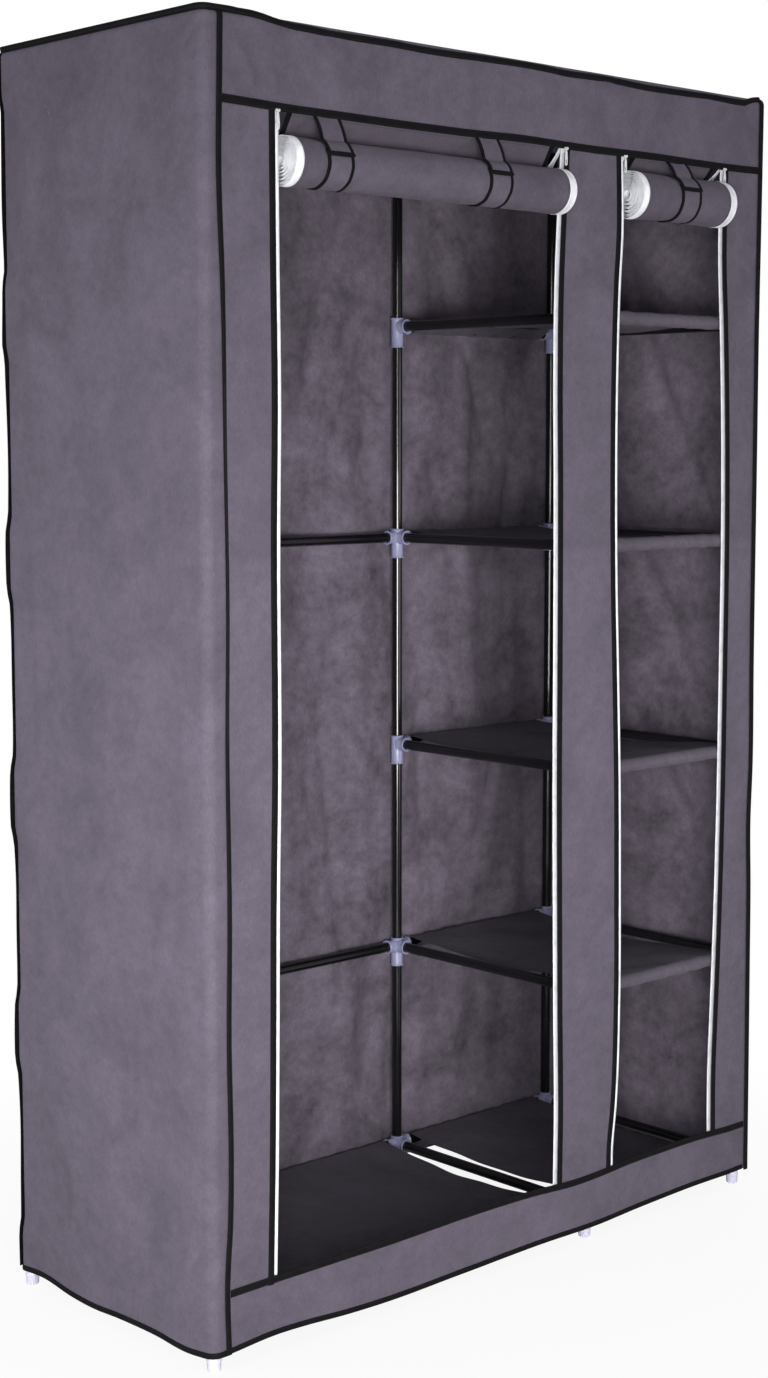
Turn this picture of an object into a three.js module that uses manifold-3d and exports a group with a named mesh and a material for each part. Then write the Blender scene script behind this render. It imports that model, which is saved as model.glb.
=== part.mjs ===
// A portable fabric wardrobe: steel tubes plugged into plastic connectors carry a sewn
// cover of non-woven cloth, and two zip doors are rolled up and strapped under the header.
// Millimetres, +Z up, the front towards -Y, the feet on Z = 0.

import * as THREE from 'three';
import { mergeVertices } from 'three/addons/utils/BufferGeometryUtils.js';
import Module from 'manifold-3d';

const wasm = await Module();
wasm.setup();

// Driving dimensions of the frame
const hangingBayWidth = 730;
const shelfBayWidth = 365;
const frameDepth = 420;
const bottomTierHeight = 48;
const tierPitch = 338;
const tubeDiameter = 16;
const tubeWall = 0.6;

// Driving dimensions of the connectors
const socketFit = 0.4;
const socketWall = 1.6;
const socketReach = 30;
const socketRise = 14;
const socketDrop = 33;
const footSole = 6;

// Driving dimensions of the cover
const clothThickness = 1.4;
const seamGap = 0.4;
const sideStandOff = 12.6;
const frontStandOff = 14.5;
const hemHeight = 23;
const bandHeight = 79;
const headerSeamDrop = 98;
const leftSeamInset = 20.5;
const leftStileWidth = 81;
const centreStileWidth = 121;
const centreStileOffset = 19;
const rightStileWidth = 95.1;
const bindingThickness = 1;
const cornerBindingWidth = 9;
const seamBindingWidth = 12;

// Driving dimensions of the doors, straps and zips
const leftRollDrop = 68;
const leftRollRadius = 36;
const rightRollDrop = 62;
const rightRollRadius = 39;
const rollEyeRadius = 6;
const rollLayerThickness = 2.4;
const rollEndClearance = 11;
const doorTapeWidth = 14;
const strapWidth = 40;
const strapThickness = 1.2;
const zipTapeThickness = 1;
const zipTapeShown = 6;
const zipTapeSewn = 9;
const sliderLength = 12;
const pullLength = 24;
const pullWidth = 6;
const pullThickness = 1.4;

// Counts
const tierCount = 6;
const tubeSides = 8;
const rollTurns = 6;
const stepsPerTurn = 10;

// Sizes worked out from the driving dimensions
const tubeRadius = tubeDiameter / 2;
const tubeBoreRadius = tubeRadius - tubeWall;
const socketBoreRadius = tubeRadius + socketFit;
const socketRadius = socketBoreRadius + socketWall;
const leftPostX = -(hangingBayWidth + shelfBayWidth) / 2;
const middlePostX = leftPostX + hangingBayWidth;
const rightPostX = middlePostX + shelfBayWidth;
const frontPostY = -frameDepth / 2;
const backPostY = frameDepth / 2;
const topTierHeight = bottomTierHeight + tierPitch * (tierCount - 1);
const halfCloth = clothThickness / 2;
const leftCoverX = leftPostX - sideStandOff;
const rightCoverX = rightPostX + sideStandOff;
const frontCoverY = frontPostY - frontStandOff;
const backCoverY = backPostY + sideStandOff;
const bandTop = hemHeight + bandHeight;
const headerSeamHeight = topTierHeight - headerSeamDrop;
const leftSeamX = leftPostX + leftSeamInset;
const leftDoorwayStart = leftSeamX + leftStileWidth;
const leftDoorwayEnd = middlePostX - centreStileOffset - centreStileWidth / 2;
const rightDoorwayStart = leftDoorwayEnd + centreStileWidth;
const rightDoorwayEnd = rightCoverX - rightStileWidth;

// Colours and finishes
const finishes = {
  tube: { color: 0x121214, roughness: 0.25, metalness: 0.4 },
  cover: { color: 0x8b8790, roughness: 0.9, metalness: 0 },
  innerCloth: { color: 0x6f6c74, roughness: 0.92, metalness: 0 },
  binding: { color: 0x17161a, roughness: 0.8, metalness: 0 },
  zipTape: { color: 0xe8e6e6, roughness: 0.7, metalness: 0 },
  zipMetal: { color: 0xd6d4d6, roughness: 0.4, metalness: 0.3 },
};

// Shared tools for making the shapes

const mergeDistance = 0.0001;
const halfTurn = Math.PI;
const fullTurn = 2 * Math.PI;
const quarterTurn = Math.PI / 2;

function solidFrom(geometry) {
  const bare = geometry.index ? geometry.clone() : geometry;
  bare.deleteAttribute('normal');
  bare.deleteAttribute('uv');
  const merged = mergeVertices(bare, mergeDistance);
  const vertProperties = Float32Array.from(merged.attributes.position.array);
  const triVerts = Uint32Array.from(merged.index.array);
  return new wasm.Manifold(new wasm.Mesh({ numProp: 3, vertProperties, triVerts }));
}

function geometryFrom(solid) {
  const mesh = solid.getMesh();
  const geometry = new THREE.BufferGeometry();
  geometry.setAttribute('position', new THREE.BufferAttribute(mesh.vertProperties, 3));
  geometry.setIndex(new THREE.BufferAttribute(mesh.triVerts, 1));
  return geometry;
}

function joined(geometries) {
  return geometries.map(solidFrom).reduce((sum, next) => sum.add(next));
}

function piece(name, geometry, finish) {
  const mesh = new THREE.Mesh(geometry, new THREE.MeshStandardMaterial(finishes[finish]));
  mesh.name = name;
  return mesh;
}

// A straight rod along one axis, with the same turn of its sides wherever it lies
function rod(axis, start, end, centre, radius) {
  const geometry = new THREE.CylinderGeometry(radius, radius, end - start, tubeSides);
  const middle = (start + end) / 2;
  if (axis === 'x') {
    geometry.rotateZ(quarterTurn);
    geometry.translate(middle, centre.y, centre.z);
  } else if (axis === 'y') {
    geometry.translate(centre.x, middle, centre.z);
  } else {
    geometry.rotateX(quarterTurn);
    geometry.translate(centre.x, centre.y, middle);
  }
  return geometry;
}

function block(...ranges) {
  const sizes = ranges.map(([start, end]) => end - start);
  const middles = ranges.map(([start, end]) => (start + end) / 2);
  return new THREE.BoxGeometry(...sizes).translate(...middles);
}

// An outline drawn in Y and Z, given thickness along X
function alongX(shape, start, end) {
  const geometry = new THREE.ExtrudeGeometry(shape, { depth: end - start, bevelEnabled: false });
  const toSide = new THREE.Matrix4().makeBasis(
    new THREE.Vector3(0, 1, 0), new THREE.Vector3(0, 0, 1), new THREE.Vector3(1, 0, 0));
  geometry.applyMatrix4(toSide);
  geometry.translate(start, 0, 0);
  return geometry;
}

// A flat outline with holes, whichever way round its points were given
function cutShape(points, holes = []) {
  const shape = new THREE.Shape(THREE.ShapeUtils.isClockWise(points) ? points.slice().reverse() : points);
  shape.holes = holes.map((hole) => new THREE.Path(hole));
  return shape;
}

// A closed band whose middle follows a line of points in a plane; its first end may be thinner
function bandOutline(line, thickness, firstThickness = thickness) {
  const sides = [[], []];
  line.forEach((point, index) => {
    const before = line[Math.max(index - 1, 0)];
    const after = line[Math.min(index + 1, line.length - 1)];
    const along = new THREE.Vector2().subVectors(after, before).normalize();
    const width = index === 0 ? firstThickness : thickness;
    const across = new THREE.Vector2(-along.y, along.x).multiplyScalar(width / 2);
    sides[0].push(point.clone().add(across));
    sides[1].unshift(point.clone().sub(across));
  });
  return cutShape([...sides[0], ...sides[1]]);
}

// A sheet of cloth as a closed solid over a grid, thickened to both sides of its middle.
// placeAt(across, up) gives the middle, with both shares running from 0 to 1.
const slopeShare = 0.001;

function clothSheet(acrossShares, upShares, placeAt, thickness = clothThickness) {
  const columns = acrossShares.length;
  const rows = upShares.length;
  const positions = [];
  for (const side of [1, -1]) {
    for (const up of upShares) {
      for (const across of acrossShares) {
        const middle = placeAt(across, up);
        const left = placeAt(Math.max(across - slopeShare, 0), up);
        const right = placeAt(Math.min(across + slopeShare, 1), up);
        const below = placeAt(across, Math.max(up - slopeShare, 0));
        const above = placeAt(across, Math.min(up + slopeShare, 1));
        const normal = right.sub(left).cross(above.sub(below)).normalize();
        middle.addScaledVector(normal, side * thickness / 2);
        positions.push(middle.x, middle.y, middle.z);
      }
    }
  }
  const indices = [];
  const backStart = columns * rows;
  for (let row = 0; row < rows - 1; row += 1) {
    for (let column = 0; column < columns - 1; column += 1) {
      const a = row * columns + column;
      const b = a + 1;
      const c = b + columns;
      const d = a + columns;
      const [e, f, g, h] = [a, b, c, d].map((index) => backStart + index);
      indices.push(a, b, c, a, c, d, e, g, f, e, h, g);
    }
  }
  const rim = [];
  for (let column = 0; column < columns - 1; column += 1) rim.push(column);
  for (let row = 0; row < rows - 1; row += 1) rim.push(row * columns + columns - 1);
  for (let column = columns - 1; column > 0; column -= 1) rim.push((rows - 1) * columns + column);
  for (let row = rows - 1; row > 0; row -= 1) rim.push(row * columns);
  rim.forEach((from, index) => {
    const to = rim[(index + 1) % rim.length];
    indices.push(from, backStart + from, backStart + to, from, backStart + to, to);
  });
  return surfaceFrom(positions, indices);
}

// A closed surface from its corners and triangles, turned so that its faces look out
function surfaceFrom(positions, indices) {
  const corner = (index) => new THREE.Vector3().fromArray(positions, 3 * index);
  let volume = 0;
  for (let index = 0; index < indices.length; index += 3) {
    const [a, b, c] = [0, 1, 2].map((offset) => corner(indices[index + offset]));
    volume += a.dot(b.cross(c));
  }
  const geometry = new THREE.BufferGeometry();
  geometry.setAttribute('position', new THREE.Float32BufferAttribute(positions, 3));
  geometry.setIndex(volume > 0 ? indices : indices.slice().reverse());
  return geometry;
}

function evenShares(count) {
  return Array.from({ length: count + 1 }, (unused, index) => index / count);
}

// Soft upright folds that fade out towards the seams; they only ever stand outwards
function foldsAt(across, up, { depth, count, leanShare }) {
  const wave = Math.sin(fullTurn * (count * across + leanShare * up));
  return depth * (1 + wave) / 2 * Math.sin(halfTurn * across) * Math.sin(halfTurn * up);
}

// Posts: six upright steel tubes

const topSocketRise = tubeRadius - 5 * seamGap;
const topCapThickness = 2;
const postBottom = footSole + socketFit;
const postTop = topTierHeight + topSocketRise - topCapThickness - socketFit;

function post(x, y) {
  const ring = cutShape(circlePoints(tubeRadius), [circlePoints(tubeBoreRadius)]);
  const geometry = new THREE.ExtrudeGeometry(ring, { depth: postTop - postBottom, bevelEnabled: false });
  geometry.translate(x, y, postBottom);
  return geometry;
}

function circlePoints(radius) {
  return Array.from({ length: tubeSides }, (unused, index) => {
    const angle = fullTurn * index / tubeSides;
    return new THREE.Vector2(radius * Math.sin(angle), radius * Math.cos(angle));
  });
}

// Tier frames: at each level, plastic sockets round the posts and the tubes plugged into them

const hangingBaySideTiers = [0, 1, 3, 5];
const hangingBayFrontTiers = [0, 5];
const leftFront = [leftPostX, frontPostY];
const leftBack = [leftPostX, backPostY];
const middleFront = [middlePostX, frontPostY];
const middleBack = [middlePostX, backPostY];
const rightFront = [rightPostX, frontPostY];
const rightBack = [rightPostX, backPostY];

// A side frame stands alone where no front tube joins it to the middle of the wardrobe
const sideFrameTiers = hangingBaySideTiers.filter((tier) => !hangingBayFrontTiers.includes(tier));

function tierHeight(tier) {
  return bottomTierHeight + tier * tierPitch;
}

function shelfBayTubes() {
  return [[middleFront, middleBack], [rightFront, rightBack], [middleFront, rightFront],
    [middleBack, rightBack]];
}

function hangingBayTubes(tier) {
  const tubes = [];
  if (hangingBaySideTiers.includes(tier)) tubes.push([leftFront, leftBack], [leftBack, middleBack]);
  if (hangingBayFrontTiers.includes(tier)) tubes.push([leftFront, middleFront]);
  return tubes;
}

// A tube's end runs to the axis of a served post, and stops outside the socket of another
function tubeFrame(tier, tubes, servedPosts) {
  const height = tierHeight(tier);
  const isBottom = tier === 0;
  const isTop = tier === tierCount - 1;
  const socketBottom = isBottom ? 0 : height - socketDrop;
  const socketTop = height + (isTop ? topSocketRise : socketRise);
  const boreBottom = isBottom ? footSole : socketBottom - seamGap;
  const boreTop = isTop ? socketTop - topCapThickness : socketTop + seamGap;
  const outsides = [];
  const bores = [];
  for (const [from, to] of tubes) {
    const axis = from[1] === to[1] ? 'x' : 'y';
    const first = axis === 'x' ? from[0] : from[1];
    const last = axis === 'x' ? to[0] : to[1];
    const isPlugged = servedPosts.includes(to);
    const end = isPlugged ? last : last - socketRadius - seamGap;
    const boreEnd = isPlugged ? last - tubeBoreRadius : last;
    const centre = new THREE.Vector3(from[0], from[1], height);
    outsides.push(rod(axis, first, end, centre, tubeRadius));
    outsides.push(rod(axis, first, first + socketReach, centre, socketRadius));
    outsides.push(rod(axis, last - socketReach, end, centre, socketRadius));
    bores.push(rod(axis, first + tubeBoreRadius, boreEnd, centre, tubeBoreRadius));
  }
  for (const [x, y] of servedPosts) {
    const centre = new THREE.Vector3(x, y, 0);
    outsides.push(rod('z', socketBottom, socketTop, centre, socketRadius));
    bores.push(rod('z', boreBottom, boreTop, centre, socketBoreRadius));
  }
  return geometryFrom(joined(outsides).subtract(joined(bores)));
}

function tierFrame(tier) {
  const tubes = shelfBayTubes();
  if (!sideFrameTiers.includes(tier)) tubes.push(...hangingBayTubes(tier));
  return tubeFrame(tier, tubes, [...new Set(tubes.flat())]);
}

function sideFrame(tier) {
  return tubeFrame(tier, hangingBayTubes(tier), [leftFront, leftBack]);
}

// Clothes rail: a tube across the hanging bay, clipped on the top side tubes

const railDrop = 30;
const clipWidth = 18;
const clipWebWidth = 12;
const railEndOverhang = 8;

function clothesRail() {
  const railHeight = topTierHeight - railDrop;
  const railCentre = new THREE.Vector3(0, 0, railHeight);
  const railStart = leftPostX - railEndOverhang;
  const railEnd = middlePostX + railEndOverhang;
  const outsides = [rod('x', railStart, railEnd, railCentre, tubeRadius)];
  const bores = [rod('x', railStart - seamGap, railEnd + seamGap, railCentre, tubeBoreRadius)];
  for (const [tubeX, inner] of [[leftPostX, 1], [middlePostX, -1]]) {
    const tubeCentre = new THREE.Vector3(tubeX, 0, topTierHeight);
    const sleeveEnds = [tubeX - inner * railEndOverhang, tubeX + inner * socketReach];
    const [sleeveStart, sleeveEnd] = sleeveEnds.sort((a, b) => a - b);
    outsides.push(rod('y', -clipWidth / 2, clipWidth / 2, tubeCentre, socketRadius));
    outsides.push(rod('x', sleeveStart, sleeveEnd, railCentre, socketRadius));
    outsides.push(block([tubeX - clipWebWidth / 2, tubeX + clipWebWidth / 2],
      [-clipWebWidth / 2, clipWebWidth / 2], [railHeight, topTierHeight]));
    bores.push(rod('y', -clipWidth, clipWidth, tubeCentre, socketBoreRadius));
  }
  return geometryFrom(joined(outsides).subtract(joined(bores)));
}

// Shelves and floor cloths: sheets whose front and back hems are sleeves round the tubes

const shelfCloth = 1.2;
const shelfSagShare = 0.02;
const shelfSteps = 4;

function shelf(startX, endX, tier) {
  const height = tierHeight(tier);
  const hemRadius = tubeRadius + socketFit + shelfCloth;
  const sag = shelfSagShare * frameDepth;
  const topSide = [];
  const underSide = [];
  for (let step = 1; step < shelfSteps; step += 1) {
    const share = step / shelfSteps;
    const y = frontPostY + share * frameDepth;
    const z = height + hemRadius - sag * Math.sin(halfTurn * share);
    topSide.push(new THREE.Vector2(y, z));
    underSide.unshift(new THREE.Vector2(y, z - shelfCloth));
  }
  const ringAt = (radius, y) => (
    circlePoints(radius).map((point) => point.add(new THREE.Vector2(y, height))));
  const backTurn = ringAt(hemRadius, backPostY).slice(0, tubeSides - 1);
  const frontHem = ringAt(hemRadius, frontPostY);
  const frontTurn = [...frontHem.slice(2), frontHem[0]];
  const bores = [ringAt(socketBoreRadius, frontPostY), ringAt(socketBoreRadius, backPostY)];
  return alongX(cutShape([...topSide, ...backTurn, ...underSide, ...frontTurn], bores), startX, endX);
}

// Cover: panels of cloth that stand off the frame and meet edge to edge at bound seams

const topRise = socketRadius + seamGap + halfCloth;
const seamOutShare = 0.82;
const seamRiseShare = 0.76;
const seamLeanShare = 1 - seamOutShare;
const topSeamHeight = topTierHeight + seamRiseShare * topRise;
const frontSeamDrop = 8;
const hangingBaySag = 14;
const shelfBaySag = 8;
const sideFoldDepth = 5;
const frontFoldDepth = 2;
const stileFoldDepth = 1.2;

// Each panel's folds: how deep, how many, and how far they lean over the panel's height
const folds = {
  leftSide: { depth: sideFoldDepth, count: 2, leanShare: 0.5 },
  rightSide: { depth: sideFoldDepth, count: 2, leanShare: 0.4 },
  back: { depth: sideFoldDepth, count: 3, leanShare: 0.6 },
  header: { depth: frontFoldDepth, count: 5, leanShare: 0.3 },
  stile: { depth: stileFoldDepth, count: 1, leanShare: 1 },
  band: { depth: frontFoldDepth, count: 4, leanShare: 0.2 },
};

// How many columns and rows of facets the panels have
const columnCounts = { side: 6, back: 12, header: 14, stile: 2, band: 12 };
const rowCounts = { stile: 8, band: 2 };

// How far along its own bay a place between the outer posts lies
function bayShareAt(x) {
  return x < middlePostX ? (x - leftPostX) / hangingBayWidth : (x - middlePostX) / shelfBayWidth;
}

// How far the front top seam hangs below the corners, over each bay
function seamDropAt(x) {
  if (x <= leftPostX || x >= rightPostX) return 0;
  const bayDrop = x < middlePostX ? frontSeamDrop : frontSeamDrop * shelfBayWidth / hangingBayWidth;
  return bayDrop * Math.sin(halfTurn * bayShareAt(x));
}

// The top: each edge turns down over its tube to the seam, and the middle sags between tubes
function topPanel() {
  const edgeTurnShares = [
    { out: 1, rise: seamRiseShare },
    { out: 0.6, rise: 0.94 },
    { out: 0, rise: 1 },
  ];
  const hangingShares = [0.25, 0.5, 0.75];
  const shelfShares = [0.5];
  const depthShares = [0.33, 0.67];
  const turned = (at, reach) => edgeTurnShares.map(({ out, rise }) => (
    { at: at + reach * seamOutShare * out, rise, isSeam: out === 1 }));
  const flat = (start, end) => (share) => ({ at: start + share * (end - start), rise: 1, isSeam: false });
  const columns = [
    ...turned(leftPostX, -sideStandOff),
    ...hangingShares.map(flat(leftPostX, middlePostX)),
    flat(middlePostX, rightPostX)(0),
    ...shelfShares.map(flat(middlePostX, rightPostX)),
    ...turned(rightPostX, sideStandOff).reverse(),
  ];
  const rows = [
    ...turned(frontPostY, -frontStandOff),
    ...depthShares.map(flat(frontPostY, backPostY)),
    ...turned(backPostY, sideStandOff).reverse(),
  ];
  const sagAt = (x, y) => {
    if (x <= leftPostX || x >= rightPostX || y <= frontPostY || y >= backPostY) return 0;
    const depthShare = (y - frontPostY) / frameDepth;
    const sag = x < middlePostX ? hangingBaySag : shelfBaySag;
    return sag * Math.sin(halfTurn * bayShareAt(x)) * Math.sin(halfTurn * depthShare);
  };
  const placeAt = (across, up) => {
    const column = columns[Math.round(across * (columns.length - 1))];
    const row = rows[Math.round(up * (rows.length - 1))];
    const atFrontSeam = row.isSeam && row.at < frontPostY;
    const drop = sagAt(column.at, row.at) + (atFrontSeam ? seamDropAt(column.at) : 0);
    const rise = topRise * Math.min(column.rise, row.rise);
    return new THREE.Vector3(column.at, row.at, topTierHeight + rise - drop);
  };
  return gridSheet(columns.length, rows.length, placeAt);
}

// The same closed sheet, for places that are known only at the crossings of the grid
function gridSheet(columnCount, rowCount, placeAt) {
  const between = (across, up) => {
    const s = across * (columnCount - 1);
    const t = up * (rowCount - 1);
    const column = Math.min(Math.floor(s), columnCount - 2);
    const row = Math.min(Math.floor(t), rowCount - 2);
    const corner = (i, j) => placeAt((column + i) / (columnCount - 1), (row + j) / (rowCount - 1));
    const low = corner(0, 0).lerp(corner(1, 0), s - column);
    const high = corner(0, 1).lerp(corner(1, 1), s - column);
    return low.lerp(high, t - row);
  };
  return clothSheet(evenShares(columnCount - 1), evenShares(rowCount - 1), between);
}

const panelTopHeight = topSeamHeight - 3 * seamGap;
const panelRowShares = [0, 0.14, 0.28, 0.42, 0.56, 0.7, 0.84];

// Height up an upright panel, and how far it leans inwards over the top tube
function uprightAt(up) {
  const z = hemHeight + up * (panelTopHeight - hemHeight);
  const leanShare = seamLeanShare * Math.max(z - topTierHeight, 0) / (topSeamHeight - topTierHeight);
  return { z, inset: leanShare * sideStandOff, frontInset: leanShare * frontStandOff };
}

// The rows of an upright panel end with the level of the top tube and the seam above it
function panelRows() {
  const turnShare = (topTierHeight - hemHeight) / (panelTopHeight - hemHeight);
  return [...panelRowShares, turnShare, 1];
}

// The left side wraps round the front corner as far as the front left seam
const cornerTurns = evenShares(4);

function leftSidePanel() {
  const sideStart = backCoverY - halfCloth - seamGap;
  const path = [
    ...evenShares(columnCounts.side).map((share) => ({
      x: leftCoverX,
      y: sideStart + share * (frontPostY - sideStart),
      share,
    })),
    ...cornerTurns.slice(1).map((turn) => ({
      x: leftPostX - sideStandOff * Math.cos(turn * quarterTurn),
      y: frontPostY - frontStandOff * Math.sin(turn * quarterTurn),
      share: 0,
    })),
    { x: leftSeamX - seamGap, y: frontCoverY, share: 0 },
  ];
  const rows = panelRows();
  const placeAt = (across, up) => {
    const spot = path[Math.round(across * (path.length - 1))];
    const { z, inset, frontInset } = uprightAt(rows[Math.round(up * (rows.length - 1))]);
    const onSide = spot.x === leftCoverX;
    const bulge = onSide ? foldsAt(spot.share, up, folds.leftSide) : 0;
    const inwardX = Math.min(Math.max((leftPostX - spot.x) / sideStandOff, 0), 1);
    const inwardY = Math.min(Math.max((frontPostY - spot.y) / frontStandOff, 0), 1);
    const pull = onSide ? -inset * (1 - spot.share) : frontInset * inwardY;
    return new THREE.Vector3(spot.x - bulge + inset * inwardX, spot.y + pull, z);
  };
  return gridSheet(path.length, rows.length, placeAt);
}

function rightSidePanel() {
  const start = frontCoverY - halfCloth;
  const end = backCoverY - halfCloth - seamGap;
  const placeAt = (across, up) => {
    const { z, inset, frontInset } = uprightAt(up);
    const bulge = foldsAt(across, up, folds.rightSide);
    const y = (1 - across) * (start + frontInset) + across * (end - inset);
    return new THREE.Vector3(rightCoverX + bulge - inset, y, z);
  };
  return clothSheet(evenShares(columnCounts.side), panelRows(), placeAt);
}

function backPanel() {
  const placeAt = (across, up) => {
    const { z, inset } = uprightAt(up);
    const bulge = foldsAt(across, up, folds.back);
    const halfWidth = rightCoverX + halfCloth - inset;
    return new THREE.Vector3(halfWidth - across * 2 * halfWidth, backCoverY + bulge - inset, z);
  };
  return clothSheet(evenShares(columnCounts.back), panelRows(), placeAt);
}

const frontPanelEnd = rightCoverX - halfCloth - seamGap;

// The header hangs from the top seam down to the line that the doors are sewn to
function headerPanel() {
  const leanStartShare = 0.9;
  const rowShares = [0, 0.45, leanStartShare, 1];
  const placeAt = (across, up) => {
    const lean = Math.max(up - leanStartShare, 0) / (1 - leanStartShare) * seamLeanShare;
    const end = frontPanelEnd - lean * sideStandOff;
    const x = leftSeamX + across * (end - leftSeamX);
    const top = panelTopHeight - seamDropAt(x);
    const z = headerSeamHeight + up * (top - headerSeamHeight);
    const bulge = foldsAt(across, up, folds.header);
    return new THREE.Vector3(x, frontCoverY - bulge + lean * frontStandOff, z);
  };
  return clothSheet(evenShares(columnCounts.header), rowShares, placeAt);
}

function stile(startX, endX) {
  const bottom = bandTop + seamGap;
  const top = headerSeamHeight - seamGap;
  const placeAt = (across, up) => {
    const bulge = foldsAt(across, up, folds.stile);
    const x = startX + across * (endX - startX);
    return new THREE.Vector3(x, frontCoverY - bulge, bottom + up * (top - bottom));
  };
  return clothSheet(evenShares(columnCounts.stile), evenShares(rowCounts.stile), placeAt);
}

function bottomBand() {
  const placeAt = (across, up) => {
    const bulge = foldsAt(across, up, folds.band);
    const x = leftSeamX + across * (frontPanelEnd - leftSeamX);
    return new THREE.Vector3(x, frontCoverY - bulge, hemHeight + up * bandHeight);
  };
  return clothSheet(evenShares(columnCounts.band), evenShares(rowCounts.band), placeAt);
}

// Bindings: black tape folded over the seams, lying just outside the cloth

const bindingLiftShare = 0.3;
const bindingBackY = frontCoverY - halfCloth - seamGap - bindingLiftShare * frontFoldDepth;

// One cut-out lattice edges the front: corners, header, band, doorways and hem
function frontBindings() {
  const leftEdge = leftSeamX - cornerBindingWidth / 2;
  const rightEdge = rightCoverX - halfCloth;
  const innerLeft = leftEdge + cornerBindingWidth;
  const innerRight = rightEdge - cornerBindingWidth;
  const topOfSides = topTierHeight - seamGap;
  const depth = [bindingBackY - bindingThickness, bindingBackY];
  const cutDepth = [depth[0] - bindingThickness, depth[1] + bindingThickness];
  const uprights = [
    [innerLeft, leftDoorwayStart - seamBindingWidth],
    [leftDoorwayStart, leftDoorwayEnd],
    [leftDoorwayEnd + seamBindingWidth, rightDoorwayStart - seamBindingWidth],
    [rightDoorwayStart, rightDoorwayEnd],
    [rightDoorwayEnd + seamBindingWidth, innerRight],
  ];
  const holes = uprights.map((xRange) => block(xRange, cutDepth, [bandTop, headerSeamHeight]));
  holes.push(block([innerLeft, innerRight], cutDepth,
    [hemHeight + cornerBindingWidth, bandTop - seamBindingWidth]));
  holes.push(block([innerLeft, innerRight], cutDepth,
    [headerSeamHeight + seamBindingWidth, topOfSides + seamBindingWidth]));
  const plate = block([leftEdge, rightEdge], depth, [hemHeight, topOfSides]);
  return geometryFrom(solidFrom(plate).subtract(joined(holes)));
}

// A flat tape swept along a line of places; outward gives the way that its face looks
function tapeAlong(places, width, closed) {
  const positions = [];
  const indices = [];
  for (const { centre, outward, along } of places) {
    const side = new THREE.Vector3().crossVectors(outward, along).normalize();
    for (const [s, t] of [[-1, -1], [1, -1], [1, 1], [-1, 1]]) {
      const corner = centre.clone().addScaledVector(side, s * width / 2);
      corner.addScaledVector(outward, t * bindingThickness / 2);
      positions.push(corner.x, corner.y, corner.z);
    }
  }
  const count = places.length;
  const spans = closed ? count : count - 1;
  for (let index = 0; index < spans; index += 1) {
    const here = 4 * index;
    const next = 4 * ((index + 1) % count);
    for (let side = 0; side < 4; side += 1) {
      const other = (side + 1) % 4;
      const [a, b, c, d] = [here + side, next + side, next + other, here + other];
      // Both faces of a twisted tape are split along the same diagonal, so that it keeps its thickness
      indices.push(...(side < 2 ? [a, b, c, a, c, d] : [a, b, d, b, c, d]));
    }
  }
  if (!closed) {
    const last = 4 * (count - 1);
    indices.push(0, 1, 2, 0, 2, 3, last, last + 2, last + 1, last, last + 3, last + 2);
  }
  return surfaceFrom(positions, indices);
}

// The tape round the top: it lies across the corner between the top and the upright panels
function topBinding() {
  const lift = halfCloth + seamGap + bindingThickness;
  const flatTilt = 50 * Math.PI / 180;
  const hangingTilt = 30 * Math.PI / 180;
  const placed = (x, y, outX, outY, alongX, alongY, drop = 0) => {
    const tilt = flatTilt + hangingTilt * drop / frontSeamDrop;
    const outward = new THREE.Vector3(outX, outY, 0).normalize().multiplyScalar(Math.sin(tilt));
    outward.z = Math.cos(tilt);
    const centre = new THREE.Vector3(x, y, topSeamHeight - drop).addScaledVector(outward, lift);
    return { centre, outward, along: new THREE.Vector3(alongX, alongY, 0) };
  };
  const left = leftPostX - seamOutShare * sideStandOff;
  const right = rightPostX + seamOutShare * sideStandOff;
  const front = frontPostY - seamOutShare * frontStandOff;
  const back = backPostY + seamOutShare * sideStandOff;
  const hangingXs = evenShares(4).slice(0, -1).map((share) => leftPostX + share * hangingBayWidth);
  const shelfXs = evenShares(2).map((share) => middlePostX + share * shelfBayWidth);
  return tapeAlong([
    placed(left, front, -1, -1, 1, -1),
    ...[...hangingXs, ...shelfXs].map((x) => placed(x, front, 0, -1, 1, 0, seamDropAt(x))),
    placed(right, front, 1, -1, 1, 1),
    placed(right, backPostY, 1, 0, 0, 1),
    placed(right, back, 1, 1, -1, 1),
    placed(leftPostX, back, 0, 1, -1, 0),
    placed(left, back, -1, 1, -1, -1),
    placed(left, frontPostY, -1, 0, 0, -1),
  ], cornerBindingWidth, true);
}

// The tape up each rear corner, laid across the corner
function rearBinding(side) {
  const outward = new THREE.Vector3(side, 1, 0).normalize();
  const cornerX = side > 0 ? rightCoverX + halfCloth : leftCoverX - halfCloth;
  const lift = seamGap + bindingThickness / 2;
  const along = new THREE.Vector3(0, 0, 1);
  const start = hemHeight + cornerBindingWidth + seamGap;
  const end = topTierHeight - seamGap;
  const places = [start, end].map((z) => ({
    centre: new THREE.Vector3(cornerX, backCoverY + halfCloth, z).addScaledVector(outward, lift),
    outward,
    along,
  }));
  return tapeAlong(places, cornerBindingWidth, false);
}

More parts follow.
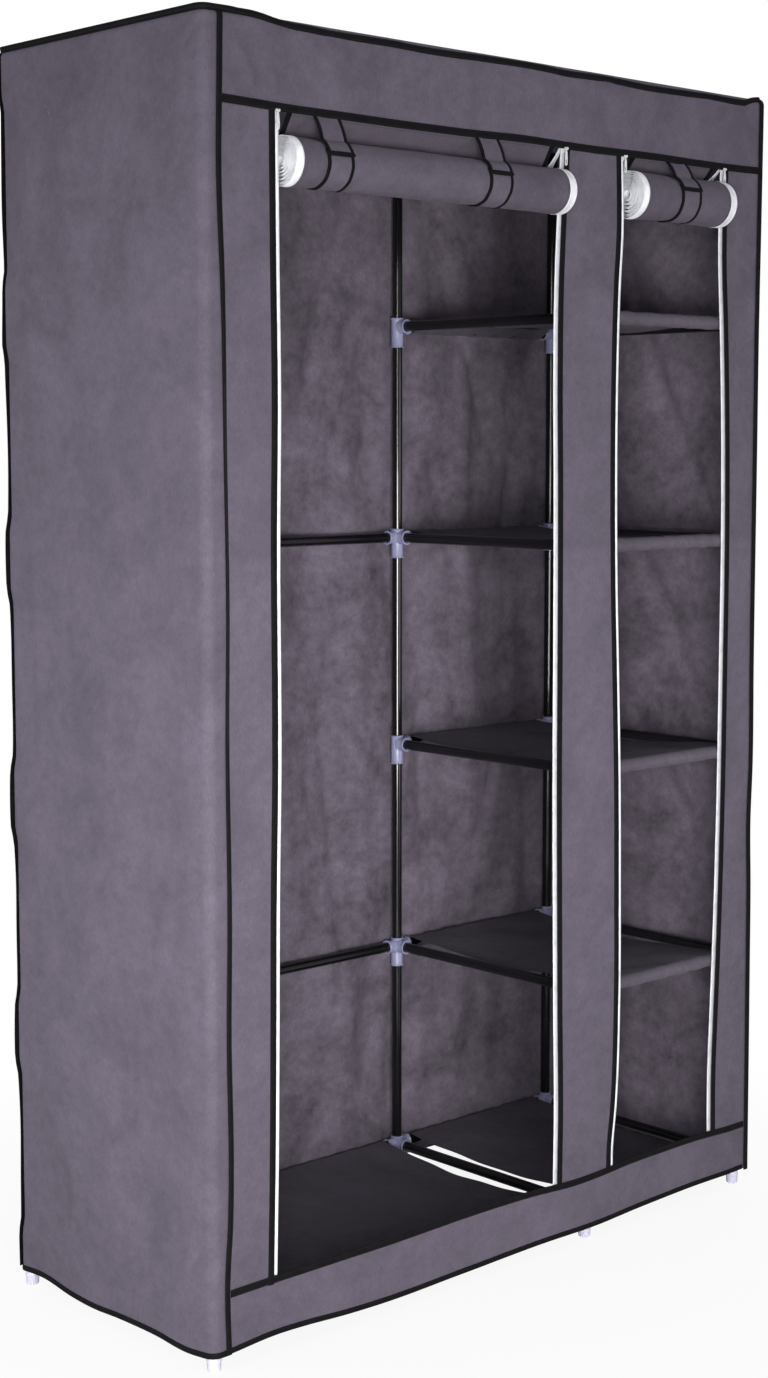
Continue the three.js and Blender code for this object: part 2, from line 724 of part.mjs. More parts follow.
// The tape round the hem, from the front left seam round the sides and back
function hemBinding() {
  const lift = halfCloth + seamGap + bindingThickness / 2;
  const z = hemHeight + cornerBindingWidth / 2;
  const spot = (x, y, outX, outY, alongX, alongY) => ({
    centre: new THREE.Vector3(x, y, z),
    outward: new THREE.Vector3(outX, outY, 0).normalize(),
    along: new THREE.Vector3(alongX, alongY, 0),
  });
  const leftLine = leftCoverX - lift;
  const rightLine = rightCoverX + lift;
  const frontLine = frontCoverY - lift;
  const backLine = backCoverY + lift;
  const startX = leftSeamX - cornerBindingWidth / 2 - seamGap;
  const places = [spot(startX, frontLine, 0, -1, -1, 0)];
  for (const turn of cornerTurns) {
    const angle = turn * quarterTurn;
    const outX = -Math.sin(angle);
    const outY = -Math.cos(angle);
    const x = leftPostX + (sideStandOff + lift) * outX;
    const y = frontPostY + (frontStandOff + lift) * outY;
    places.push(spot(x, y, outX, outY, outY, -outX));
  }
  places.push(spot(leftLine, backLine, -1, 1, 1, 1));
  places.push(spot(rightLine, backLine, 1, 1, 1, -1));
  places.push(spot(rightLine, frontCoverY, 1, 0, 0, -1));
  return tapeAlong(places, cornerBindingWidth, false);
}

// Zips: a white tape sewn behind each side of a doorway, with its teeth on the free edge

const zipTapeFront = frontCoverY + halfCloth + seamGap;

// inner is 1 where the doorway lies to the right of its edge, -1 where it lies to the left
function coverZipTape(edgeX, inner) {
  const xRange = [edgeX - inner * zipTapeSewn, edgeX + inner * zipTapeShown].sort((a, b) => a - b);
  return block(xRange, [zipTapeFront, zipTapeFront + zipTapeThickness], [bandTop, headerSeamHeight]);
}

// The slider is a channel that wraps the free edge of the tape, with a pin for its pull

const sliderWall = 1;
const sliderFit = 0.4;
const sliderOverlap = 5;
const sliderPinRadius = 0.9;
const sliderPinReach = 3.2;
const sliderNeckWidth = 1.6;
const sliderHeight = headerSeamHeight - sliderLength - 2 * seamGap;
const pullPinY = zipTapeFront - sliderFit - 3 * sliderWall - 2 * sliderPinRadius;
const pullPinZ = sliderHeight + sliderLength / 2;

function zipSlider(edgeX, inner) {
  const free = edgeX + inner * zipTapeShown;
  const root = free - inner * sliderOverlap;
  const web = free + inner * sliderFit;
  const outer = web + inner * sliderWall;
  const zRange = [sliderHeight, sliderHeight + sliderLength];
  const frontY = zipTapeFront - sliderFit;
  const backY = zipTapeFront + zipTapeThickness + sliderFit;
  const ordered = (a, b) => [Math.min(a, b), Math.max(a, b)];
  const centreX = (root + outer) / 2;
  const neck = [centreX - sliderNeckWidth / 2, centreX + sliderNeckWidth / 2];
  const neckZ = [pullPinZ - sliderPinRadius / 2, pullPinZ + sliderPinRadius / 2];
  const pinCentre = new THREE.Vector3(centreX, pullPinY, pullPinZ);
  return geometryFrom(joined([
    block(ordered(root, outer), [frontY - sliderWall, frontY], zRange),
    block(ordered(root, outer), [backY, backY + sliderWall], zRange),
    block(ordered(web, outer), [frontY - sliderWall, backY + sliderWall], zRange),
    block(neck, [pullPinY, frontY - sliderWall / 2], neckZ),
    rod('x', centreX - sliderPinReach, centreX + sliderPinReach, pinCentre, sliderPinRadius),
  ]));
}

// The pull hangs from the slider's pin by two eyes, and has a long hole near its end

const pullEyeSlackShare = 0.3;
const pullEyeBore = sliderPinRadius * (1 + pullEyeSlackShare);
const pullEyeRadius = pullEyeBore + sliderWall;
const pullSlotWidth = sliderNeckWidth + 2 * sliderFit;
const pullHoleShares = { top: 0.45, bottom: 0.88, width: 0.4 };

function zipPull(edgeX, inner) {
  const free = edgeX + inner * zipTapeShown;
  const centreX = (free - inner * sliderOverlap + free + inner * (sliderFit + sliderWall)) / 2;
  const pin = new THREE.Vector3(centreX, pullPinY, pullPinZ);
  const halfWidth = pullWidth / 2;
  const plateY = [pullPinY - pullThickness / 2, pullPinY + pullThickness / 2];
  const plate = block([centreX - halfWidth, centreX + halfWidth], plateY,
    [pullPinZ - pullLength, pullPinZ]);
  const eyes = rod('x', centreX - halfWidth, centreX + halfWidth, pin, pullEyeRadius);
  const bore = rod('x', centreX - pullWidth, centreX + pullWidth, pin, pullEyeBore);
  const slotDepth = pullEyeRadius + sliderFit;
  const slot = block([centreX - pullSlotWidth / 2, centreX + pullSlotWidth / 2],
    [pullPinY - slotDepth, pullPinY + slotDepth], [pullPinZ - slotDepth, pullPinZ + slotDepth]);
  const holeHalf = pullHoleShares.width * pullWidth / 2;
  const hole = block([centreX - holeHalf, centreX + holeHalf],
    [pullPinY - pullThickness, pullPinY + pullThickness],
    [pullPinZ - pullHoleShares.bottom * pullLength, pullPinZ - pullHoleShares.top * pullLength]);
  return geometryFrom(joined([plate, eyes]).subtract(joined([bore])).subtract(joined([slot]))
    .subtract(joined([hole])));
}

// Doors: each hangs from the header seam and is rolled up outwards, its turns lying in pairs

// A roll's height, and the reach of its hanging cloth above its axis
function rolledUp(radius, drop) {
  const curtainTop = drop - halfCloth;
  const windingRadius = radius - rollLayerThickness / 2;
  return {
    axisZ: headerSeamHeight - drop,
    curtainTop,
    windingRadius,
    startTurn: Math.acos(windingRadius / curtainTop),
  };
}

const leftRoll = rolledUp(leftRollRadius, leftRollDrop);
const rightRoll = rolledUp(rightRollRadius, rightRollDrop);

// From the roll's axis to the middle of its cloth, after a number of turns
function rollReach(roll, turns) {
  return roll.windingRadius - turns / rollTurns * (roll.windingRadius - rollEyeRadius);
}

// A place in Y and Z, at an angle from the top of the roll towards the back
function fromRollAxis(roll, reach, angle) {
  return new THREE.Vector2(frontCoverY + reach * Math.sin(angle), roll.axisZ + reach * Math.cos(angle));
}

// The middle of the cloth in Y and Z: one layer at the seam, down behind the roll, then round
// and round to its eye
function doorLine(roll) {
  const winding = evenShares(rollTurns * stepsPerTurn).map((share) => {
    const turns = share * rollTurns;
    return fromRollAxis(roll, rollReach(roll, turns), roll.startTurn + turns * fullTurn);
  });
  return [new THREE.Vector2(frontCoverY, roll.axisZ + roll.curtainTop), ...winding];
}

function doorSlice(roll, startX, endX) {
  const outline = bandOutline(doorLine(roll), rollLayerThickness, rollLayerThickness / 2);
  return alongX(outline, startX, endX);
}

// Straps: a loop passes behind and under the roll, and a tab in front fastens over its end

const strapSeamDrop = 8;
const loopEndAngle = 305 * Math.PI / 180;
const tabStartAngle = 328 * Math.PI / 180;
const tabEndAngle = 288 * Math.PI / 180;
const strapArcSteps = 16;
const tabArcSteps = 3;
const loopOffset = rollLayerThickness / 2 + seamGap + strapThickness / 2;
const tabOffset = loopOffset + strapThickness + seamGap;

// A place beside the hanging cloth, a little below the seam: behind it, or in front if negative
function besideCurtain(roll, offset) {
  const down = new THREE.Vector2(Math.cos(roll.startTurn), -Math.sin(roll.startTurn));
  const behind = new THREE.Vector2(Math.sin(roll.startTurn), Math.cos(roll.startTurn));
  const top = new THREE.Vector2(frontCoverY, roll.axisZ + roll.curtainTop);
  return top.addScaledVector(down, strapSeamDrop).addScaledVector(behind, offset);
}

function strapArc(roll, offset, fromAngle, toAngle, steps) {
  return evenShares(steps).map((share) => {
    const angle = fromAngle + share * (toAngle - fromAngle);
    const turns = (angle - roll.startTurn) / fullTurn;
    return fromRollAxis(roll, rollReach(roll, turns) + offset, angle);
  });
}

function strapAlong(line, centreX) {
  const outline = bandOutline(line, strapThickness);
  return alongX(outline, centreX - strapWidth / 2, centreX + strapWidth / 2);
}

function strapLoop(roll, centreX) {
  const arc = strapArc(roll, loopOffset, roll.startTurn, loopEndAngle, strapArcSteps);
  return strapAlong([besideCurtain(roll, loopOffset), ...arc], centreX);
}

function strapTab(roll, centreX) {
  const arc = strapArc(roll, tabOffset, tabStartAngle, tabEndAngle, tabArcSteps);
  return strapAlong([besideCurtain(roll, -loopOffset), ...arc], centreX);
}

// The whole wardrobe, piece by piece

const wardrobe = new THREE.Group();

const posts = { front_left: leftFront, front_middle: middleFront, front_right: rightFront,
  back_left: leftBack, back_middle: middleBack, back_right: rightBack };
for (const [place, spot] of Object.entries(posts)) {
  wardrobe.add(piece(`post_${place}`, post(...spot), 'tube'));
}

for (let tier = 0; tier < tierCount; tier += 1) {
  wardrobe.add(piece(`tier_frame_${tier}`, tierFrame(tier), 'tube'));
}
for (const tier of sideFrameTiers) {
  wardrobe.add(piece(`side_frame_${tier}`, sideFrame(tier), 'tube'));
}
wardrobe.add(piece('clothes_rail', clothesRail(), 'tube'));

const shelfStart = middlePostX + socketReach + seamGap;
const shelfEnd = rightPostX - socketReach - seamGap;
for (let tier = 1; tier < tierCount - 1; tier += 1) {
  wardrobe.add(piece(`shelf_${tier}`, shelf(shelfStart, shelfEnd, tier), 'innerCloth'));
}
const floorStart = leftPostX + socketReach + seamGap;
const floorEnd = middlePostX - socketReach - seamGap;
wardrobe.add(piece('floor_cloth_left', shelf(floorStart, floorEnd, 0), 'innerCloth'));
wardrobe.add(piece('floor_cloth_right', shelf(shelfStart, shelfEnd, 0), 'innerCloth'));

const stiles = [['left', leftSeamX, leftDoorwayStart], ['centre', leftDoorwayEnd, rightDoorwayStart],
  ['right', rightDoorwayEnd, frontPanelEnd]];
wardrobe.add(piece('cover_top', topPanel(), 'cover'));
wardrobe.add(piece('cover_left_side', leftSidePanel(), 'cover'));
wardrobe.add(piece('cover_right_side', rightSidePanel(), 'cover'));
wardrobe.add(piece('cover_back', backPanel(), 'cover'));
wardrobe.add(piece('cover_header', headerPanel(), 'cover'));
for (const [place, from, to] of stiles) {
  wardrobe.add(piece(`cover_${place}_stile`, stile(from, to), 'cover'));
}
wardrobe.add(piece('cover_bottom_band', bottomBand(), 'cover'));

wardrobe.add(piece('front_bindings', frontBindings(), 'binding'));
wardrobe.add(piece('top_binding', topBinding(), 'binding'));
wardrobe.add(piece('rear_left_binding', rearBinding(-1), 'binding'));
wardrobe.add(piece('rear_right_binding', rearBinding(1), 'binding'));
wardrobe.add(piece('hem_binding', hemBinding(), 'binding'));

const zips = [['left_door_left', leftDoorwayStart, 1], ['left_door_right', leftDoorwayEnd, -1],
  ['right_door_left', rightDoorwayStart, 1], ['right_door_right', rightDoorwayEnd, -1]];
for (const [place, edgeX, inner] of zips) {
  wardrobe.add(piece(`${place}_cover_tape`, coverZipTape(edgeX, inner), 'zipTape'));
  wardrobe.add(piece(`${place}_zip_slider`, zipSlider(edgeX, inner), 'zipMetal'));
  wardrobe.add(piece(`${place}_zip_pull`, zipPull(edgeX, inner), 'zipMetal'));
}

const doors = [['left', leftRoll, leftDoorwayStart, leftDoorwayEnd],
  ['right', rightRoll, rightDoorwayStart, rightDoorwayEnd]];
for (const [place, roll, edgeStart, edgeEnd] of doors) {
  const start = edgeStart + rollEndClearance;
  const end = edgeEnd - rollEndClearance;
  const slices = [[`${place}_door`, start + doorTapeWidth + seamGap, end - doorTapeWidth - seamGap],
    [`${place}_door_left_tape`, start, start + doorTapeWidth],
    [`${place}_door_right_tape`, end - doorTapeWidth, end]];
  for (const [name, from, to] of slices) {
    wardrobe.add(piece(name, doorSlice(roll, from, to), name.endsWith('tape') ? 'zipTape' : 'innerCloth'));
  }
}

const strapPlaceShares = { left: 0.16, middle: 0.7, right: 0.51 };
const straps = [['left', leftRoll, leftDoorwayStart, leftDoorwayEnd],
  ['middle', leftRoll, leftDoorwayStart, leftDoorwayEnd],
  ['right', rightRoll, rightDoorwayStart, rightDoorwayEnd]];
for (const [place, roll, edgeStart, edgeEnd] of straps) {
  const centreX = edgeStart + strapPlaceShares[place] * (edgeEnd - edgeStart);
  wardrobe.add(piece(`${place}_strap_loop`, strapLoop(roll, centreX), 'cover'));
  wardrobe.add(piece(`${place}_strap_tab`, strapTab(roll, centreX), 'cover'));
}

// The origin goes to the middle of the outline, on the floor
const outline = new THREE.Box3().setFromObject(wardrobe);
const middle = outline.getCenter(new THREE.Vector3());
wardrobe.position.set(-middle.x, -middle.y, -outline.min.z);

export default wardrobe;
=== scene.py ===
import math

import bmesh
import bpy
import numpy as np
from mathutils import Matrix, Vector


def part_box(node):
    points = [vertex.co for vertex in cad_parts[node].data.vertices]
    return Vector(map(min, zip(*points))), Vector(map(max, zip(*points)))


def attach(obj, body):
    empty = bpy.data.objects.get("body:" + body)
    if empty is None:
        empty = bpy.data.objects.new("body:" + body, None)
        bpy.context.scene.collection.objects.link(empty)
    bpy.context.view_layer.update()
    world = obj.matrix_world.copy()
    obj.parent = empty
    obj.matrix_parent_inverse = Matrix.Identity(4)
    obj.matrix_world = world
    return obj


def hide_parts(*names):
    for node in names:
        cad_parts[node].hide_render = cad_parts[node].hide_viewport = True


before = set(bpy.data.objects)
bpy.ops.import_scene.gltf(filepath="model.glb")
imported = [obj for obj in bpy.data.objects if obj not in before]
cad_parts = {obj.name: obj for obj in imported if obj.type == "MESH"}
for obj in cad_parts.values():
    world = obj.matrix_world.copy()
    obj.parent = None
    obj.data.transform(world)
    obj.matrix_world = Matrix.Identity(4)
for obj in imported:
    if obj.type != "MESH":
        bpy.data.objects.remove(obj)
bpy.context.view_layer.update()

# The photographer's camera
# It stands to the left of the wardrobe, a little above its middle, and looks slightly down.
# Its place and lens were fitted to the corners and tubes that the photograph shows.
camera_place = Vector((-2.3036, -2.3935, 1.2196))
camera_azimuth = math.radians(43.151)
camera_drop = math.radians(6.408)
focal_length_pixels = 2218.7
photo_height_pixels = 1378
sensor_millimetres = 36

camera_data = bpy.data.cameras.new("photo_camera")
camera_data.sensor_width = sensor_millimetres
camera_data.lens = focal_length_pixels * sensor_millimetres / photo_height_pixels
camera = bpy.data.objects.new("photo_camera", camera_data)
bpy.context.scene.collection.objects.link(camera)
looking = Vector((math.sin(camera_azimuth) * math.cos(camera_drop),
                  math.cos(camera_azimuth) * math.cos(camera_drop), -math.sin(camera_drop)))
camera.location = camera_place
camera.rotation_mode = "QUATERNION"
camera.rotation_quaternion = looking.to_track_quat("-Z", "Y")
bpy.context.scene.camera = camera
bpy.context.scene.view_settings.view_transform = "Standard"

# The studio
# A white floor in a white room, and soft lamps low in front and to the left. The camera sees the
# backdrop and the far floor as plain white, while the room lights the object at a lower level.
floor_half_width = 30.0
floor_white = (0.93, 0.93, 0.93, 1)
room_light = (0.92, 0.93, 1.0, 1)
room_strength = 0.40
soft_box_spread = math.radians(72)
floor_whitening = (0.4, 1.3, 0.90, 1.0)

floor_mesh = bpy.data.meshes.new("studio_floor")
floor_mesh.from_pydata([(x * floor_half_width, y * floor_half_width, 0)
                        for x, y in ((-1, -1), (1, -1), (1, 1), (-1, 1))], [], [(0, 1, 2, 3)])
floor = bpy.data.objects.new("studio_floor", floor_mesh)
bpy.context.scene.collection.objects.link(floor)


def fill(tree, node, values):
    """Sets inputs of a node, each to a plain value or linked to another node's output."""
    for key, value in values.items():
        if isinstance(value, bpy.types.NodeSocket):
            tree.links.new(value, node.inputs[key])
        else:
            node.inputs[key].default_value = value


def set_node(tree, kind, values=None, **settings):
    """A new node with its settings and the values or links of its inputs."""
    node = tree.nodes.new(kind)
    for key, value in settings.items():
        setattr(node, key, value)
    fill(tree, node, values or {})
    return node


def maths(tree, operation, *values, **settings):
    """The result of a sum on one or two values or links."""
    return set_node(
        tree, "ShaderNodeMath", dict(enumerate(values)), operation=operation, **settings).outputs[0]


def ranged(tree, value, start, end, low=0.0, high=1.0, **settings):
    """A value brought from one range to another and kept inside it."""
    return set_node(tree, "ShaderNodeMapRange", {
        "Value": value, "From Min": start, "From Max": end, "To Min": low, "To Max": high,
    }, **settings).outputs["Result"]


def seen_or_lighting(tree, output, share, lighting, seen):
    """One shader for the camera, as far as its share goes, and another for all other rays."""
    blend = set_node(
        tree, "ShaderNodeMixShader", {"Fac": share, 1: lighting.outputs[0], 2: seen.outputs[0]})
    fill(tree, output, {"Surface": blend.outputs["Shader"]})


floor_finish = bpy.data.materials.new("white_studio_floor")
floor_finish.use_nodes = True
tree = floor_finish.node_tree
tree.nodes.clear()
output = set_node(tree, "ShaderNodeOutputMaterial")
painted = set_node(tree, "ShaderNodeBsdfDiffuse", {"Color": floor_white})
glow = set_node(tree, "ShaderNodeEmission", {"Strength": 1.0})
spot = set_node(tree, "ShaderNodeTexCoord")
distance = set_node(tree, "ShaderNodeVectorMath", {0: spot.outputs["Object"]}, operation="LENGTH")
whiteness = ranged(
    tree, distance.outputs["Value"], *floor_whitening, interpolation_type="SMOOTHSTEP")
camera_ray = set_node(tree, "ShaderNodeLightPath").outputs["Is Camera Ray"]
seen_or_lighting(tree, output, maths(tree, "MULTIPLY", camera_ray, whiteness), painted, glow)
floor_mesh.materials.append(floor_finish)

room = bpy.data.worlds.new("white_studio")
bpy.context.scene.world = room
room.use_nodes = True
tree = room.node_tree
tree.nodes.clear()
output = set_node(tree, "ShaderNodeOutputWorld")
ambient = set_node(tree, "ShaderNodeBackground", {"Color": room_light, "Strength": room_strength})
backdrop = set_node(tree, "ShaderNodeBackground", {"Color": (1, 1, 1, 1), "Strength": 1.0})
camera_ray = set_node(tree, "ShaderNodeLightPath").outputs["Is Camera Ray"]
seen_or_lighting(tree, output, camera_ray, ambient, backdrop)


def add_soft_box(name, place, aim, size, watts, colour):
    lamp = bpy.data.lights.new(name, "AREA")
    lamp.shape = "RECTANGLE"
    lamp.size, lamp.size_y = size
    lamp.energy = watts
    lamp.color = colour
    lamp.spread = soft_box_spread
    holder = bpy.data.objects.new(name, lamp)
    holder.location = place
    holder.rotation_mode = "QUATERNION"
    holder.rotation_quaternion = (Vector(aim) - Vector(place)).to_track_quat("-Z", "Y")
    bpy.context.scene.collection.objects.link(holder)


lit_middle = (0, 0, 0.68)
add_soft_box("key_soft_box", (-1.82, -2.60, 0.62), lit_middle, (1.2, 1.0), 16.5, (1, 0.985, 0.97))
add_soft_box("side_soft_box", (-3.3, -0.3, 0.68), lit_middle, (1.2, 1.2), 8.2, (0.98, 0.98, 1))
add_soft_box("fill_soft_box", (1.6, -3.4, 0.7), lit_middle, (1.6, 1.6), 3.8, (1, 1, 1))
add_soft_box("strip_soft_box", (-2.75, -2.60, 1.05), (0, 0, 1.0), (0.12, 2.2), 5.2, (1, 1, 1))
add_soft_box("top_soft_box", (0.2, 0.4, 4.4), lit_middle, (3.2, 2.0), 4, (1, 1, 1))

# Steel tubes: posts and cross tubes
# Each post is five thin steel tubes that meet inside the plastic connectors, and more tubes of
# the same kind join the posts at six levels. They have a black gloss coating, slightly rippled.
tube_radius = 0.008
tube_wall = 0.0006
tube_colour = (0.004, 0.004, 0.005, 1)
marked_tube_colour = (0.009, 0.009, 0.010, 1)
end_gap = 0.0008
tube_sides = 40

socket_rise = 0.014
socket_drop = 0.033
socket_reach = 0.0235
post_names = [
    f"{side}_{place}" for side in ("front", "back") for place in ("left", "middle", "right")]
post_boxes = {name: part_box(f"post_{name}") for name in post_names}
post_axes = {name: ((low + high) / 2).to_2d() for name, (low, high) in post_boxes.items()}
left_x, middle_x, right_x = (post_axes[f"front_{place}"].x for place in ("left", "middle", "right"))
front_y, back_y = post_axes["front_left"].y, post_axes["back_left"].y
tier_count = 6
tier_heights = [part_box(f"tier_frame_{tier}")[1].z - socket_rise for tier in range(tier_count - 1)]
tier_heights.append(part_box(f"tier_frame_{tier_count - 1}")[0].z + socket_drop)
top_tier = tier_heights[-1]


def add_effect(name, inputs, outputs):
    """An empty node group with the named inputs, given with their values, and outputs."""
    effect = bpy.data.node_groups.new(name, "ShaderNodeTree")
    for label, value in inputs.items():
        socket = effect.interface.new_socket(label, in_out="INPUT", socket_type="NodeSocketFloat")
        socket.default_value = value
    for label in outputs:
        effect.interface.new_socket(label, in_out="OUTPUT", socket_type="NodeSocketFloat")
    return effect, effect.nodes.new("NodeGroupInput").outputs, effect.nodes.new("NodeGroupOutput")


def noise(tree, vector, scale, detail, roughness=0.5, distortion=0.0):
    return set_node(tree, "ShaderNodeTexNoise", {
        "Vector": vector, "Scale": scale, "Detail": detail, "Roughness": roughness,
        "Distortion": distortion}).outputs["Fac"]


def mix_colours(tree, share, first, second):
    return set_node(
        tree, "ShaderNodeMix", {0: share, 6: first, 7: second}, data_type="RGBA").outputs[2]


def bumped(tree, height, strength, distance):
    return set_node(tree, "ShaderNodeBump", {
        "Height": height, "Strength": strength, "Distance": distance}).outputs["Normal"]


def new_finish(name, **constants):
    """A material whose Principled shader has these plain values."""
    finish = bpy.data.materials.new(name)
    finish.use_nodes = True
    shader = finish.node_tree.nodes["Principled BSDF"]
    for key, value in constants.items():
        shader.inputs[key.replace("_", " ")].default_value = value
    return finish, finish.node_tree, shader


# Dust and handling marks: soft patches and fine specks that dull a glossy or moulded surface
handling, taken, given = add_effect(
    "handling_marks", {"Patch Size": 0.05, "Speck Size": 0.002, "Amount": 0.5},
    ("Mask", "Height"))
spot = set_node(handling, "ShaderNodeTexCoord").outputs["Object"]
per_patch = maths(handling, "DIVIDE", 1.0, taken["Patch Size"])
per_speck = maths(handling, "DIVIDE", 1.0, taken["Speck Size"])
patches = noise(handling, spot, per_patch, 3.0, 0.6)
specks = noise(handling, spot, per_speck, 2.0)
both = maths(
    handling, "ADD", ranged(handling, patches, 0.42, 0.72), ranged(handling, specks, 0.5, 0.75))
amount = maths(handling, "MULTIPLY", both, taken["Amount"], use_clamp=True)
fill(handling, given, {"Mask": amount, "Height": patches})

tube_finish, tree, shader = new_finish(
    "black_coated_tube", Metallic=0.0, Coat_Roughness=0.08, Coat_Weight=0.4,
    Specular_IOR_Level=0.35)
marks = set_node(
    tree, "ShaderNodeGroup", {"Patch Size": 0.09, "Amount": 0.45}, node_tree=handling).outputs
fill(tree, shader, {
    "Base Color": mix_colours(tree, marks["Mask"], tube_colour, marked_tube_colour),
    "Roughness": ranged(tree, marks["Mask"], 0.0, 1.0, 0.14, 0.36),
    "Normal": bumped(tree, marks["Height"], 0.12, 0.0006)})


def turned(profile, sides):
    """The skin of a closed profile of (radius, height) points, turned round the Z axis."""
    ring = np.array(profile)
    count = len(ring)
    angles = np.arange(sides) * 2 * math.pi / sides
    points = np.stack([np.outer(np.cos(angles), ring[:, 0]), np.outer(np.sin(angles), ring[:, 0]),
                       np.tile(ring[:, 1], (sides, 1))], axis=-1).reshape(-1, 3)
    faces = [(side * count + i, (side + 1) % sides * count + i,
              (side + 1) % sides * count + (i + 1) % count, side * count + (i + 1) % count)
             for side in range(sides) for i in range(count)]
    return points, faces


def standing(points, start, direction):
    """Points made along Z, moved to a start and turned to a direction."""
    turn = np.array(Vector(direction).to_track_quat("Z", "Y").to_matrix())
    return points @ turn.T + np.array(start)


def add_piece(name, parts, finishes, sharp_angle=40, face_finishes=None, flat_places=None):
    """One object from parts, each its points and faces; cloth also has its flat places."""
    points, faces, first = [], [], 0
    for part_points, part_faces in parts:
        points.append(np.asarray(part_points, float))
        faces += [tuple(int(corner) + first for corner in face) for face in part_faces]
        first += len(part_points)
    mesh = bpy.data.meshes.new(name)
    mesh.from_pydata(np.concatenate(points).tolist(), [], faces)
    for finish in finishes:
        mesh.materials.append(finish)
    if face_finishes is not None:
        mesh.polygons.foreach_set("material_index", np.asarray(face_finishes, np.int32))
    if flat_places is not None:
        stored = mesh.attributes.new("flat_place", "FLOAT_VECTOR", "POINT")
        stored.data.foreach_set("vector", np.asarray(flat_places, np.float32).ravel())
    built = bmesh.new()
    built.from_mesh(mesh)
    bmesh.ops.recalc_face_normals(built, faces=built.faces)
    built.to_mesh(mesh)
    built.free()
    mesh.shade_smooth()
    mesh.set_sharp_from_angle(angle=math.radians(sharp_angle))
    made = bpy.data.objects.new(name, mesh)
    bpy.context.scene.collection.objects.link(made)
    return made


def tube_part(start, end):
    """A thin tube between two points, with its bore."""
    way = Vector(end) - Vector(start)
    profile = [(tube_radius - tube_wall, 0), (tube_radius - 0.0003, 0), (tube_radius, 0.0003),
               (tube_radius, way.length - 0.0003), (tube_radius - 0.0003, way.length),
               (tube_radius - tube_wall, way.length)]
    points, faces = turned(profile, tube_sides)
    return standing(points, start, way), faces


for name in post_names:
    low, high = post_boxes[name]
    ends = [low.z, *tier_heights[1:-1], high.z]
    axis = post_axes[name]
    lengths = [tube_part((axis.x, axis.y, bottom + end_gap), (axis.x, axis.y, top - end_gap))
               for bottom, top in zip(ends, ends[1:])]
    post = add_piece(f"post_tubes_{name}", lengths, [tube_finish])
    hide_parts(f"post_{name}")
    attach(post, "wardrobe")

hanging_bay_side_tiers = (0, 1, 3, 5)
hanging_bay_front_tiers = (0, 5)


def tubes_of_tier(tier):
    """The pairs of posts that tubes join at a level."""
    pairs = [("front_middle", "back_middle"), ("front_right", "back_right"),
             ("front_middle", "front_right"), ("back_middle", "back_right")]
    if tier in hanging_bay_side_tiers:
        pairs += [("front_left", "back_left"), ("back_left", "back_middle")]
    if tier in hanging_bay_front_tiers:
        pairs.append(("front_left", "front_middle"))
    return pairs


cross_tube_start = 0.011
for tier, height in enumerate(tier_heights):
    lengths = []
    for first, second in tubes_of_tier(tier):
        start, end = post_axes[first].to_3d(), post_axes[second].to_3d()
        inward = (end - start).normalized() * cross_tube_start
        level = Vector((0, 0, height))
        lengths.append(tube_part(start + inward + level, end - inward + level))
    tubes = add_piece(f"tier_{tier}_tubes", lengths, [tube_finish])
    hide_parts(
        *(name for name in (f"tier_frame_{tier}", f"side_frame_{tier}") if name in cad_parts))
    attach(tubes, "wardrobe")

# Plastic connectors and feet
# Each is moulded from milky blue-grey plastic: an upright sleeve round the post, and a sleeve
# with a flared mouth for each cross tube. The lowest ones end in a capped foot on the floor.
sleeve_bore = 0.0083
sleeve_radius = 0.0098
mouth_radius = 0.0116
mouth_under_cover = 0.0104
mouth_length = 0.0035
sleeve_sides = 32
foot_radius = 0.0092
connector_colour = (0.30, 0.31, 0.47, 1)
foot_colour = (0.66, 0.64, 0.78, 1)


def opaque(colour, factor=1):
    """A colour's three channels times a factor, with full cover."""
    return (*(factor * channel for channel in colour[:3]), 1)


def moulded_finish(name, colour, roughness):
    finish, tree, shader = new_finish(
        name, Subsurface_Weight=0.25, Subsurface_Scale=0.004, IOR=1.5, Coat_Weight=0.0)
    shader.inputs["Subsurface Radius"].default_value = (0.8, 0.8, 1.0)
    marks = set_node(tree, "ShaderNodeGroup", {
        "Patch Size": 0.018, "Speck Size": 0.0008, "Amount": 0.5}, node_tree=handling).outputs
    fill(tree, shader, {
        "Base Color": mix_colours(tree, marks["Mask"], colour, opaque(colour, 0.82)),
        "Roughness": ranged(tree, marks["Mask"], 0.0, 1.0, roughness, roughness + 0.2),
        "Normal": bumped(tree, marks["Height"], 0.25, 0.0005)})
    return finish


connector_finish = moulded_finish("milky_connector_plastic", connector_colour, 0.3)
foot_finish = moulded_finish("pale_foot_plastic", foot_colour, 0.35)


def flared_mouth(end):
    """The outline of a sleeve's mouth, from the sleeve outwards and back to its bore."""
    return [(sleeve_radius, end - mouth_length), (sleeve_radius + 0.0006, end - 0.6 * mouth_length),
            (mouth_radius - 0.0004, end - 0.25 * mouth_length), (mouth_radius, end - 0.0006),
            (mouth_radius - 0.0005, end), (sleeve_bore + 0.0008, end), (sleeve_bore, end - 0.0012)]


def arm_part(post, toward, height, widest=1.0):
    """A sleeve that leaves the upright one for a cross tube, with its mouth no wider than told."""
    start = post.to_3d() + Vector((0, 0, height))
    way = (toward - post).to_3d().normalized()
    root = sleeve_bore + 0.0002
    outer = [(sleeve_radius + 0.0012, root), (sleeve_radius + 0.0012, root + 0.003),
             (sleeve_radius, root + 0.006)]
    profile = [(sleeve_bore, root), *outer, *flared_mouth(socket_reach)]
    profile = [(min(radius, widest), along) for radius, along in profile]
    points, faces = turned(profile, sleeve_sides)
    return standing(points, start, way), faces


